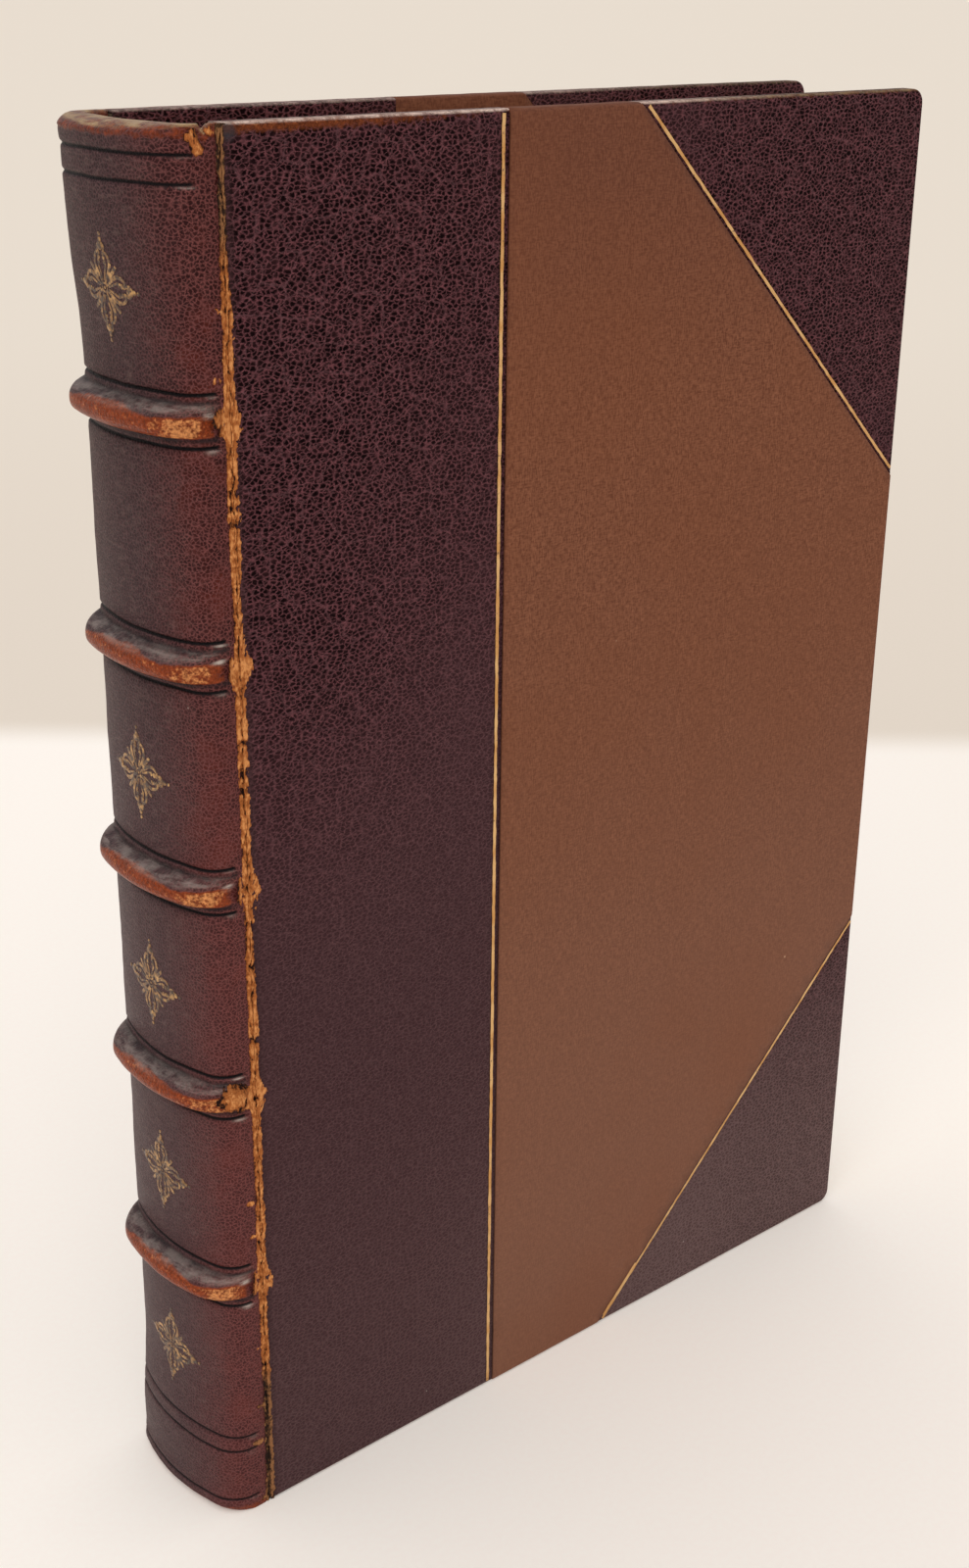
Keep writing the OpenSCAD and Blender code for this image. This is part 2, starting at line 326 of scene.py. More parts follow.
slanted = add(grain, "Mapping", {"Vector": bent, "Rotation": (0, 0, CREASE_SLANT),
                                 "Scale": (CREASE_LONG, 1, 1)}, vector_type="TEXTURE").outputs[0]
folds = add(grain, "TexVoronoi", {"Vector": slanted, "Scale": CREASE_CELLS}, feature="DISTANCE_TO_EDGE",
            voronoi_dimensions="2D")
size = add(grain, "SeparateColor", {0: cells.outputs["Color"]}).outputs["Red"]
wall = sums(grain, "SUBTRACT", walls.outputs["Distance"], times(grain, size, 0.07))
centre = between(grain, cells.outputs["Distance"], 0.32, 0.76, 1.0, 0.48)
pit = times(grain, between(grain, wall, -0.05, 0.21), centre)
faint = between(grain, cloud(grain, spread, 420, 2), 0.34, 0.56, 0.86, 1.0)
crease = between(grain, folds.outputs["Distance"], 0.0, 0.055, 1.0, 0.0)
clear = sums(grain, "SUBTRACT", 1.0, times(grain, crease, 0.40))
pit = times(grain, times(grain, pit, faint), clear)
fine = cloud(grain, spread, 3800, 2)
grain.links.new(between(grain, fine, 0.30, 0.70, 0.72, 1.22), gives["Fleck"])
grain.links.new(pit, gives["Pits"])
grain.links.new(crease, gives["Creases"])
grain.links.new(sums(grain, "SUBTRACT", times(grain, fine, 0.35), pit), gives["Height"])

rubbed, takes, gives = effect(
    "rubbed_dye",
    [("Place", "Vector", None), ("Colour", "Color", (0, 0, 0, 1)), ("Rub", "Float", 0.0),
     ("Brown", "Color", (0, 0, 0, 1)), ("Tan", "Color", (0, 0, 0, 1))],
    [("Colour", "Color")],
)
patch = cloud(rubbed, takes["Place"], 700, 4, 0.65)
fleck = cloud(rubbed, takes["Place"], 1900, 3, 0.7)
worn = sums(rubbed, "ADD", takes["Rub"], sums(rubbed, "SUBTRACT", patch, 0.5))
brown = between(rubbed, worn, 0.30, 0.75)
bare = between(rubbed, sums(rubbed, "ADD", worn, sums(rubbed, "SUBTRACT", fleck, 0.5)), 0.90, 1.26)
mottle = between(rubbed, fleck, 0.30, 0.70, 0.55, 1.30)
brown_tone = mix(rubbed, 1.0, takes["Brown"], mottle, "MULTIPLY")
tan_tone = mix(rubbed, 1.0, takes["Tan"], between(rubbed, fleck, 0.35, 0.75, 0.62, 1.06), "MULTIPLY")
first = mix(rubbed, brown, takes["Colour"], brown_tone)
rubbed.links.new(mix(rubbed, bare, first, tan_tone), gives["Colour"])

dust, takes, gives = effect("dust_specks", [("Place", "Vector", None), ("Amount", "Float", 0.5)],
                            [("Specks", "Float")])
spots = add(dust, "TexVoronoi", {"Vector": takes["Place"], "Scale": 120}, feature="F1")
chance = add(dust, "SeparateColor", {0: spots.outputs["Color"]}).outputs["Red"]
kept = sums(dust, "LESS_THAN", chance, times(dust, takes["Amount"], 0.1))
near = between(dust, spots.outputs["Distance"], 0.012, 0.035, 1.0, 0.0)
dust.links.new(times(dust, kept, near), gives["Specks"])

# The spine: one goatskin cover drawn over lining and cords, nipped in beside each band, rolled over
# the endbands at head and tail, and tooled with blind rules. Rubbing has browned the band crests.
strip_low, strip_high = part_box("front_leather")
cloth_low, cloth_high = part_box("front_cloth")
SIDE_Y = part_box("spine_leather")[1].y
JOINT_X = frame["joints"][0]["pos_m"][0]
LEATHER_Y = -strip_low.y
CLOTH_Y = -cloth_low.y
COVER_H = strip_high.z
FORE_X = cloth_high.x
JOINT_HALF_GAP = strip_low.x - JOINT_X
SPINE_R = 37 * MM
SPINE_ROUND = 9 * MM
SHOULDER_R = 4.5 * MM
ARC_X = JOINT_X + SPINE_R - SPINE_ROUND
BAND_PROUD = 3.2 * MM
BAND_HALF = 2.25 * MM
BAND_Z = [(190.5 - 36 * i) * MM for i in range(5)]
BALD = dict(zip(BAND_Z, (0.38, 0.26, 0.34, 0.30, 0.34)))
RULE_SIDE = 3.75 * MM
HEAD_RULES = [COVER_H - 3.9 * MM, COVER_H - 7.7 * MM]
TAIL_RULES = [2.7 * MM, 12.9 * MM, 15.8 * MM]
RULES_Z = sorted(HEAD_RULES + TAIL_RULES + [z + s * RULE_SIDE for z in BAND_Z for s in (-1, 1)])
RULE_DEEP = 0.38 * MM
RULE_WIDE = 0.31 * MM
RULE_WAVER = 0.14 * MM
RULE_ENDS = {z: 0.79 if z in HEAD_RULES else 0.885 for z in RULES_Z}
RULE_MARK = {z: 0.75 if z in TAIL_RULES else 0.85 if z in HEAD_RULES else 1.0 for z in RULES_Z}
BAND_END = 0.79
BAND_TAPER = 0.165
BALD_AT = 0.68
TEAR_AT = -0.885
TEAR_DEEP = 1.3 * MM
VALLEY_DEEP = 0.42 * MM
SKIN_T = 0.75 * MM
SPINE_COLUMNS = 90
CAP_WAY = [(-2.9, 2.3), (-3.4, 1.9), (-3.8, 1.2), (-3.75, 0.6), (-3.3, 0.2), (-2.6, 0.04), (-1.9, 0.1),
           (-1.2, 0.26), (-0.6, 0.48), (-0.1, 0.78), (0.24, 1.1), (0.42, 1.4)]
CAP_FLARE = {"head": 0.3 * MM, "tail": 0.25 * MM}
CAP_NARROWS = 0.55
HEAD_SWELL = 1.7 * MM
TAIL_SWELL = 1.2 * MM


def shoulder(grow):
    """Centre of the small arc that joins the spine's large arc to its side, pushed out by grow."""
    y = SIDE_Y - SHOULDER_R - max(grow, 0)
    return ARC_X - math.sqrt((SPINE_R - SHOULDER_R) ** 2 - y * y), y


def ways(grow):
    """Lengths of the leather's way from the middle of the spine: large arc, small arc, flat side."""
    x, y = shoulder(grow)
    turn = math.asin(y / (SPINE_R - SHOULDER_R))
    return (SPINE_R + grow) * turn, (SHOULDER_R + grow) * (math.pi / 2 - turn), JOINT_X - JOINT_HALF_GAP - x


SPINE_WAY = sum(ways(0))


def spine_point(across, grow):
    """A point on the spine and its outward direction. across runs from -1 at the front joint to 1
    at the back joint, by the length of the leather, and grow pushes the point out."""
    large, small, flat = ways(grow)
    along = abs(across) * (large + small + flat)
    side = -1 if across < 0 else 1
    centre_x, centre_y = shoulder(grow)
    if along > large + small:
        x = centre_x + along - large - small
        return Vector((x, side * (SIDE_Y + min(grow, 0)))), Vector((0, side))
    if along < large:
        centre_x, centre_y, radius = ARC_X, 0, SPINE_R + grow
        angle = along / radius
    else:
        radius = SHOULDER_R + grow
        angle = math.pi / 2 - (large + small - along) / radius
    outward = Vector((-math.cos(angle), side * math.sin(angle)))
    return Vector((centre_x, side * centre_y)) + radius * outward, outward


def ease(value):
    """Smooth step from 0 to 1."""
    value = min(max(value, 0.0), 1.0)
    return value * value * (3 - 2 * value)


def swell(z):
    """How far the loose leather stands out near the head and the tail."""
    return HEAD_SWELL * ease((z - 194 * MM) / (27 * MM)) + TAIL_SWELL * ease((26 * MM - z) / (18 * MM))


def waves(x, y, z, size):
    """Smooth random height from about -1 to 1, with features of the given size."""
    return noise.noise(Vector((x, y, z)) / size)


def band_height(distance):
    """1 on the crest of a band, falling round its flank to 0 a little past its edge."""
    distance = abs(distance)
    root = 0.9 * MM
    if distance >= BAND_HALF + root:
        return 0.0
    foot = 0.17 * (1 - max(0.0, distance - BAND_HALF * 0.8) / (BAND_HALF * 0.2 + root)) ** 2
    if distance >= BAND_HALF:
        return foot
    return max(math.sqrt(max(0.0, 1 - (distance / (BAND_HALF * 1.04)) ** 2.3)), foot)


def band_reach(across):
    """1 along a band, falling to 0 where it sinks towards the joint."""
    return 1 - ease((abs(across) - BAND_END) / BAND_TAPER)


def bell(distance, width):
    """1 at no distance, falling softly to 0 by about two widths."""
    return math.exp(-((distance / width) ** 2))


def skin_lift(point, z):
    """The unevenness of pasted leather: long waves and a finer ripple."""
    return 0.11 * MM * waves(point.x, point.y, z, 9 * MM) + 0.04 * MM * waves(point.x, point.y, z, 2.4 * MM)


def spine_rows():
    """The leather's way over the spine, tail to head, as pairs of outward growth and height."""
    ends = {}
    for end, flare in CAP_FLARE.items():
        squeeze = flare / CAP_FLARE["head"]
        way = [(grow * MM * (squeeze if grow > 0 else 1), height * MM) for grow, height in CAP_WAY]
        height = 1.4 * MM
        while height < 5.0 * MM:
            near_rule = min(abs(COVER_H - height - z if end == "head" else height - z) for z in RULES_Z)
            height += 0.16 * MM if near_rule < 0.85 * MM else 0.3 * MM
            rise = ease((height - 1.4 * MM) / (0.6 * MM))
            grow = flare * (0.76 + 0.24 * rise) * (1 - ease((height - 2.2 * MM) / (2.6 * MM)))
            way.append((grow, height))
        ends[end] = way
    height = ends["tail"][-1][1]
    middle = []
    while height < COVER_H - 6.1 * MM:
        near_rule = min(abs(height - z) for z in RULES_Z)
        near_band = min(abs(height - z) for z in BAND_Z)
        step = 0.16 if near_rule < 0.85 * MM else 0.28 if near_band < 3.4 * MM else 0.8
        height += step * MM
        middle.append((0.0, height))
    return ends["tail"] + middle + [(grow, COVER_H - height) for grow, height in ends["head"][::-1]]


def face_out(bm, outward):
    """Turns the faces of an open sheet to look along a direction."""
    bmesh.ops.recalc_face_normals(bm, faces=bm.faces)
    if sum(face.normal.dot(Vector(outward)) for face in bm.faces) < 0:
        bmesh.ops.reverse_faces(bm, faces=bm.faces)


def thicken(made, thickness):
    """Gives a sheet its thickness, inwards from its outer face."""
    wall = made.modifiers.new("thickness", "SOLIDIFY")
    wall.thickness = thickness
    wall.offset = -1


def rule_mark(z, across, y, rule_z):
    """How deep a blind rule is pressed at a place, from 0 to 1."""
    away = abs(z - rule_z - RULE_WAVER * waves(y, rule_z, 0, 7 * MM))
    return bell(away, RULE_WIDE) * (1 - ease((abs(across) - RULE_ENDS[rule_z]) / 0.045)) * RULE_MARK[rule_z]


def rubbed_brown(above, across, y, band_z):
    """How far a band's crest and lower flank are rubbed to brown, most of all in a bald patch near
    the joint. above is the height over the band's middle, in millimetres."""
    brown_to = 2.3 - 1.0 * ease((abs(across) - 0.15) / 0.35) + 0.25 * waves(y, 0, band_z, 5 * MM)
    lower_flank = ease((brown_to - above) / 0.8) * ease((above + 2.5) / 0.5)
    return lower_flank * band_reach(across) * (0.80 + bell(abs(across) - BALD_AT, 0.16) * BALD[band_z])


def painted_sheen(z, above, across, point):
    """How much painted sheen a place gets: painted highlights on the upper flanks of the bands, painted
    glints beside the ends of the rules and bands at the front joint, and a painted sheen on the rim of the
    headcap."""
    glint = max(bell(z - rule_z + 0.42 * MM, 0.14 * MM) * bell(across + end - 0.03, 0.045)
                * (RULE_MARK[rule_z] - 0.4 + 0.9 * waves(0, 0, rule_z, 5 * MM))
                for rule_z, end in RULE_ENDS.items())
    crest_glint = bell(above - 0.9, 0.4) * bell(across + 0.85, 0.035)
    rim_deep = (0.42 + 0.55 * (1 - abs(across)) + 0.2 * waves(point.x, point.y, 3, 2.5 * MM)) * MM
    rim = ease((z - COVER_H + rim_deep) / (0.35 * MM))
    return max(0.26 * bell(above - 1.9, 0.6) * band_reach(across), 0.95 * glint, 0.9 * crest_glint,
               0.85 * rim)


rows = spine_rows()
skin = bmesh.new()
bmesh.ops.create_grid(skin, x_segments=SPINE_COLUMNS, y_segments=len(rows) - 1, size=1)
marks = {name: skin.verts.layers.float.new(name) for name in ("rub", "rule", "recess_shade", "across", "pale")}
for vert in skin.verts:
    across = vert.co.x
    row = round((vert.co.y + 1) / 2 * (len(rows) - 1))
    grow, z = rows[row]
    band_z = min(BAND_Z, key=lambda middle: abs(z - middle))
    on_cap = row < len(CAP_WAY) or row >= len(rows) - len(CAP_WAY)
    if on_cap and grow < 0:
        spread = grow * (1 - CAP_NARROWS * ease((abs(across) - 0.45) / 0.5))
    else:
        spread = grow + BAND_PROUD * band_height(z - band_z) * band_reach(across)
    spread += swell(z) * ease((grow + 3.4 * MM) / (2.0 * MM))
    point, outward = spine_point(across, spread)
    pressed = max(rule_mark(z, across, point.y, rule_z) for rule_z in RULES_Z)
    valley = ease((abs(across) - 0.945) / 0.055)
    lift = skin_lift(point, z) - RULE_DEEP * pressed - VALLEY_DEEP * valley
    if abs(point.y) > SIDE_Y - 0.25 * MM:
        lift = min(lift, 0.04 * MM)
    point += outward * lift
    above = (z - band_z) / MM
    cap = max(ease((z - COVER_H + 2.6 * MM) / (1.1 * MM)), ease((2.0 * MM - z) / (1.0 * MM)))
    vert[marks["rub"]] = max(rubbed_brown(above, across, point.y, band_z), 0.52 * cap)
    # Painted shade in the recess at the foot of each band, above and below it.
    vert[marks["recess_shade"]] = bell(abs(above) - 2.6, 0.42) * (1 - ease((abs(across) - 0.90) / 0.05))
    # pale holds the painted highlights and sheen on the bands, beside the rules' ends and on the headcap's
    # rim.
    vert[marks["pale"]] = painted_sheen(z, above, across, point)
    vert[marks["rule"]] = pressed
    vert[marks["across"]] = across
    tear = max(0.0, 1 - abs(across - TEAR_AT) / 0.035) if z > COVER_H - 3 * MM else 0.0
    vert.co = (point.x, point.y, min(max(z - TEAR_DEEP * tear, 0.05 * MM), COVER_H))
face_out(skin, (-1, 0, 0))

spine_skin, tree, shader, place = material("spine_goatskin")
rub, rule, recess_shade, across, pale = (add(tree, "Attribute", attribute_name=name).outputs["Fac"]
                                 for name in ("rub", "rule", "recess_shade", "across", "pale"))
where = axes(tree, place)
upper = between(tree, where["Z"], 60 * MM, 215 * MM)
laid = add(tree, "CombineXYZ", {"X": times(tree, across, SPINE_WAY), "Y": where["Z"]})
pebble = add(tree, "Group", {"Place": laid.outputs[0], "Scale": 1.3, "Stretch": (1, 1.05, 1)},
             node_tree=grain)
# Towards the back joint the ridges turn greyer, the grain fainter and pale streaks run up the skin: a
# painted sheen.
to_front = between(tree, across, -0.95, -0.10, 1.0, 0.0)
# Ridge tones are partly a painted sheen and pit tones partly painted shade, over the skin's own colour.
ridge_tone = mix(tree, to_front, srgb(86, 59, 60), srgb(113, 62, 59))
pit_tone = mix(tree, to_front, srgb(26, 13, 17), srgb(42, 8, 9))
red_patch = between(tree, cloud(tree, place, 130, 4, 0.6), 0.46, 0.70)
pit_tone = mix(tree, times(tree, red_patch, to_front), pit_tone, srgb(84, 30, 20))
depth = times(tree, pebble.outputs["Pits"], between(tree, upper, 0.0, 1.0, 0.75, 1.0))
depth = times(tree, depth, between(tree, to_front, 0.0, 1.0, 0.75, 1.0))
base = mix(tree, depth, ridge_tone, pit_tone)
base = mix(tree, 1.0, base, pebble.outputs["Fleck"], "MULTIPLY")
# Pale streaks on the far side of the spine: painted sheen.
streak = stretched(tree, place, (0.6, 0.6, 1.6))
far_side_sheen = between(tree, cloud(tree, streak, 700, 4, 0.7), 0.48, 0.70, 0.0, 0.3)
base = mix(tree, times(tree, far_side_sheen, sums(tree, "SUBTRACT", 1.0, to_front)), base, srgb(114, 92, 86))
# Painted shade: the recesses beside the bands are darkened.
patchy_recess_shade = times(tree, recess_shade, between(tree, cloud(tree, place, 420, 4), 0.3, 0.62, 0.45, 0.95))
base = mix(tree, patchy_recess_shade, base, srgb(30, 22, 25))
worn = add(tree, "Group", {"Place": place, "Colour": base, "Rub": rub, "Brown": srgb(134, 58, 27),
                           "Tan": srgb(222, 146, 88)}, node_tree=rubbed)
inked = mix(tree, between(tree, rule, 0.12, 0.8), worn.outputs["Colour"], srgb(14, 9, 11))
brushed = stretched(tree, place, (0.35, 0.35, 2.2))
scuff = between(tree, cloud(tree, brushed, 620, 4, 0.7), 0.37, 0.65, 0.12, 1.55)
# Painted sheen: pale grey on the bands and beside the rules, tan near the head.
pale_tone = mix(tree, between(tree, where["Z"], COVER_H - 4 * MM, COVER_H - 3 * MM), srgb(186, 171, 160),
                srgb(168, 136, 98))
inked = mix(tree, times(tree, pale, scuff), inked, pale_tone)
specks = add(tree, "Group", {"Place": place, "Amount": 0.7}, node_tree=dust)
inked = mix(tree, specks.outputs[0], inked, srgb(205, 190, 175))
rough = between(tree, rub, 0.1, 0.7, 0.44, 0.30)
bumps = bumped(tree, pebble.outputs["Height"], 0.14 * MM, between(tree, upper, 0.0, 1.0, 0.4, 0.75))
feed(tree, shader, Base_Color=inked, Roughness=rough, Normal=bumps, Specular_IOR_Level=0.10)

spine = mesh_object("spine_skin", skin, spine_skin)
thicken(spine, SKIN_T)
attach(spine, "book_block")
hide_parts("spine_leather")

# The covering of a board: skin or cloth over the outer face, round the three edges and turned in on
# the inner face. One rounded tray of the board's size is cut along the lines between its pieces.
STRIP_W = strip_high.x - JOINT_X
CORNER_LEG = FORE_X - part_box("front_head_corner")[0].x
INNER_Y = -strip_high.y
TURN_IN = 12 * MM
CORNER_ROUND = 2.5 * MM
EDGE_ROUND = 0.75 * MM
INNER_ROUND = 0.5 * MM
MESH_STEP = 3
GILT_INSET = 1.3 * MM
CORNER_INSET = 0.9 * MM
GILT_HALF = 0.375 * MM
PRESS_DEEP = 0.13 * MM
GROOVE_DEEP = 0.30 * MM
GROOVE_EDGE = 0.60 * MM
WALL_WIDE = 0.06 * MM
EDGE_WORN = 0.10 * MM
NICK_HIGH = 1.4 * MM
NICK_WIDE = 4.5 * MM
COVER_SKIN_T = 0.5 * MM


def cut(bm, point, normal, clear=False):
    """Cuts the mesh along a plane; clear takes away what lies on the normal's side."""
    everything = bm.verts[:] + bm.edges[:] + bm.faces[:]
    bmesh.ops.bisect_plane(bm, geom=everything, plane_co=point, plane_no=normal, clear_outer=clear)


def round_off(bm, edges, radius, segments):
    """Rounds the given edges."""
    bmesh.ops.bevel(bm, geom=edges, offset=radius, segments=segments, profile=0.5, affect="EDGES",
                    material=-1)


def tray(face_y):
    """The surface that covers the front board, from its joint edge round to its turn-ins."""
    bm = bmesh.new()
    low = Vector((JOINT_X + JOINT_HALF_GAP, -face_y, 0))
    high = Vector((FORE_X, -INNER_Y, COVER_H))
    bmesh.ops.create_cube(bm, size=1)
    bmesh.ops.scale(bm, vec=high - low, verts=bm.verts)
    bmesh.ops.translate(bm, vec=(low + high) / 2, verts=bm.verts)
    upright = [e for e in bm.edges if all(v.co.x > FORE_X - MM for v in e.verts)
               and abs(e.verts[0].co.y - e.verts[1].co.y) > MM]
    round_off(bm, upright, CORNER_ROUND, 7)
    outer = [e for e in bm.edges if all(v.co.y < low.y + 0.1 * MM for v in e.verts)]
    round_off(bm, outer, EDGE_ROUND, 5)
    inner = [e for e in bm.edges if all(v.co.y > high.y - 0.1 * MM for v in e.verts)
             and not all(v.co.x < low.x + 0.1 * MM for v in e.verts)]
    round_off(bm, inner, INNER_ROUND, 3)
    for point, normal in (
        ((0, 0, TURN_IN), (0, 0, 1)),
        ((0, 0, COVER_H - TURN_IN), (0, 0, 1)),
        ((FORE_X - TURN_IN, 0, 0), (1, 0, 0)),
    ):
        cut(bm, point, normal)
    for x in range(int(low.x / MM) + 2, int(FORE_X / MM) - 1, MESH_STEP):
        cut(bm, (x * MM, 0, 0), (1, 0, 0))
    for z in range(MESH_STEP, int(COVER_H / MM) - 1, MESH_STEP):
        cut(bm, (0, 0, z * MM), (0, 0, 1))
    gone = []
    for face in bm.faces:
        middle = face.calc_center_median()
        inside = TURN_IN < middle.z < COVER_H - TURN_IN and middle.x < FORE_X - TURN_IN
        joint_side = middle.x < low.x + 0.02 * MM
        if joint_side or (inside and middle.y > high.y - 0.05 * MM):
            gone.append(face)
    bmesh.ops.delete(bm, geom=gone, context="FACES")
    return bm


def from_corner(leg, head):
    """A point on a line across the head or tail corner, and its direction towards the corner."""
    z = COVER_H if head else 0
    return Vector((FORE_X - leg, 0, z)), Vector((1, 0, 1 if head else -1)).normalized()


def corner_depth(co, leg, head):
    """How far a point lies past a line across a corner, towards the corner."""
    point, normal = from_corner(leg, head)
    return (co - point).dot(normal)


def press(bm, depth_of, inset):
    """Presses the gilt line and the blind line beside the cloth into the outer face. depth_of gives
    a point's distance from the cloth's edge."""
    for vert in bm.verts:
        if vert.co.y > -LEATHER_Y + 0.3 * MM:
            continue
        distance = depth_of(vert.co)
        if abs(distance - inset) <= GILT_HALF + 0.02 * MM:
            vert.co.y += PRESS_DEEP
        elif -0.02 * MM <= distance <= inset - GROOVE_EDGE + 0.02 * MM:
            vert.co.y += GROOVE_DEEP


def line_cuts(bm, point, normal, inset):
    """Cuts along both walls of the gilt line and of the blind line, from the cloth's edge inwards."""
    for distance in (inset - GROOVE_EDGE, inset - GROOVE_EDGE + WALL_WIDE,
                     inset - GILT_HALF - WALL_WIDE, inset - GILT_HALF,
                     inset + GILT_HALF, inset + GILT_HALF + 2 * WALL_WIDE):
        cut(bm, Vector(point) + Vector(normal) * distance, normal)


def weather(bm, face_y, wave, nick=False):
    """Long soft waves over the outer face and a slightly uneven edge, as pasted skin has, and on
    the front strip a nick where the joint meets the tail."""
    for vert in bm.verts:
        x, y, z = vert.co
        if y < -face_y + 0.5 * MM:
            vert.co.y += wave * (0.5 + 0.5 * waves(x, 0, z, 24 * MM))
        if z > COVER_H - 0.3 * MM:
            vert.co.z -= EDGE_WORN * abs(waves(x, y, 0, 6 * MM))
        elif nick and z < 0.3 * MM:
            vert.co.z += NICK_HIGH * ease(1 - (x - JOINT_X) / NICK_WIDE)


def to_back(bm):
    """Mirrors a piece of the front cover to the back cover."""
    bmesh.ops.scale(bm, vec=(1, -1, 1), verts=bm.verts)
    bmesh.ops.reverse_faces(bm, faces=bm.faces)


def lay_on(name, bm, finish, body, node, back):
    """Lays a cut covering on the front board, or mirrored on the back board."""
    if back:
        to_back(bm)
    made = mesh_object(name, bm, finish)
    thicken(made, COVER_SKIN_T)
    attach(made, body)
    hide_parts(node)
    return made


# The leather of the covers: a strip beside each joint and a triangle over each outer corner. It is
# darker and more deeply grained than the spine, rubbed brown along its edges, with a painted sheen on
# the arris of its head; it is dull beside the joint, and paler and more faintly grained towards the tail.
cover_skin, tree, shader, place = material("cover_goatskin")
where = axes(tree, place)
from_joint = sums(tree, "SUBTRACT", where["X"], JOINT_X)
laid = add(tree, "CombineXYZ", {
    "X": sums(tree, "MULTIPLY_ADD", where["Y"], 0.7, third=where["X"]),
    "Y": sums(tree, "MULTIPLY_ADD", where["Y"], 0.7, third=where["Z"]),
})
pebble = add(tree, "Group", {"Place": laid.outputs[0], "Stretch": (0.82, 1.2, 1)}, node_tree=grain)
upper = between(tree, where["Z"], 70 * MM, 205 * MM)
across = between(tree, from_joint, 5 * MM, 60 * MM, 1.0, 0.55)
patchy = between(tree, cloud(tree, place, 28, 3), 0.3, 0.7, 0.85, 1.1)
far_corner = between(tree, from_joint, 70 * MM, 100 * MM, 0.0, 0.75)
deep = sums(tree, "MAXIMUM", times(tree, upper, across), times(tree, upper, far_corner))
deep = sums(tree, "MAXIMUM", deep, between(tree, from_joint, 85 * MM, 130 * MM, 0.0, 0.48))
deep = times(tree, deep, patchy)
beside_joint = between(tree, from_joint, 0.6 * MM, 2.4 * MM, 0.5, 1.0)
deep = times(tree, deep, beside_joint)
pits = times(tree, pebble.outputs["Pits"], between(tree, deep, 0.0, 0.8, 0.7, 1.0))
# Ridge tones are partly a painted sheen and pit tones partly painted shade, over the skin's own colour.
ridge_tone = mix(tree, between(tree, deep, 0.0, 0.8), srgb(85, 59, 61), srgb(109, 64, 69))
pit_tone = mix(tree, between(tree, deep, 0.0, 0.8), srgb(58, 35, 38), srgb(12, 0, 2))
uneven = between(tree, cloud(tree, place, 1500, 2), 0.35, 0.65, 0.0, 0.45)
ridge_tone = mix(tree, uneven, ridge_tone, srgb(62, 38, 42))
base = mix(tree, pits, ridge_tone, pit_tone)
base = mix(tree, times(tree, pebble.outputs["Creases"], times(tree, deep, 0.16)), base, srgb(118, 90, 94))
base = mix(tree, 1.0, base, pebble.outputs["Fleck"], "MULTIPLY")
# Paler towards the tail and the fore-edge, least in the pits.
paler_to_tail = times(tree, between(tree, where["Z"], 5 * MM, 95 * MM, 1.0, 0.0),
              between(tree, from_joint, 20 * MM, 110 * MM, 0.16, 0.74))
paler_to_tail = times(tree, paler_to_tail, between(tree, pebble.outputs["Pits"], 0.0, 1.0, 1.12, 0.55))
base = mix(tree, paler_to_tail, base, srgb(112, 90, 87))
grey_edge = between(tree, from_joint, 0.6 * MM, 2.2 * MM, 0.4, 0.0)
base = mix(tree, grey_edge, base, srgb(46, 31, 31))
head_gap = sums(tree, "SUBTRACT", COVER_H, where["Z"])
fore_gap = sums(tree, "SUBTRACT", FORE_X, where["X"])
edge_gap = sums(tree, "MINIMUM", sums(tree, "MINIMUM", head_gap, where["Z"]), fore_gap)
edge_rub = between(tree, edge_gap, 0.1 * MM, 1.3 * MM, 0.5, 0.0)
head_rub = times(tree, between(tree, head_gap, 0.5 * MM, 2.6 * MM, 0.80, 0.0),
                 between(tree, from_joint, 12 * MM, 60 * MM, 1.0, 0.25))
outward = sums(tree, "ABSOLUTE", where["Y"])
outer = between(tree, outward, LEATHER_Y - 2.2 * MM, LEATHER_Y - 1.2 * MM)
rub = times(tree, sums(tree, "MAXIMUM", edge_rub, head_rub), outer)
worn = add(tree, "Group", {"Place": place, "Colour": base, "Rub": rub, "Brown": srgb(112, 56, 30),
                           "Tan": srgb(190, 122, 72)}, node_tree=rubbed)
specks = add(tree, "Group", {"Place": place, "Amount": 0.6}, node_tree=dust)
tone = mix(tree, specks.outputs[0], worn.outputs["Colour"], srgb(205, 190, 180))
# Painted sheen along the arris of the head: pale near the joint, tan towards the fore-edge.
rim = times(tree, between(tree, head_gap, 0.12 * MM, 0.5 * MM, 1.0, 0.0),
            between(tree, from_joint, 75 * MM, 120 * MM, 1.0, 0.6))
rim_tone = mix(tree, between(tree, from_joint, 75 * MM, 120 * MM), srgb(226, 198, 182), srgb(160, 138, 100))
scuff = between(tree, cloud(tree, place, 500, 4, 0.7), 0.38, 0.62, 0.35, 1.0)
rim = times(tree, rim, between(tree, outward, LEATHER_Y - 1.3 * MM, LEATHER_Y - 0.8 * MM, 0.45, 1.0))
tone = mix(tree, times(tree, rim, scuff), tone, rim_tone)
bruise = add(tree, "VectorMath", {0: place, 1: (JOINT_X + 1.2 * MM, -LEATHER_Y, COVER_H - 1.2 * MM)},
             operation="DISTANCE").outputs["Value"]
tone = mix(tree, between(tree, bruise, 0.6 * MM, 1.7 * MM, 0.7, 0.0), tone, srgb(56, 54, 58))
bumps = bumped(tree, pebble.outputs["Height"], 0.20 * MM, between(tree, deep, 0.0, 0.8, 0.35, 0.9))
rough = sums(tree, "ADD", times(tree, pebble.outputs["Pits"], 0.3), 0.36)
feed(tree, shader, Base_Color=tone, Roughness=rough, Normal=bumps, Specular_IOR_Level=0.04)

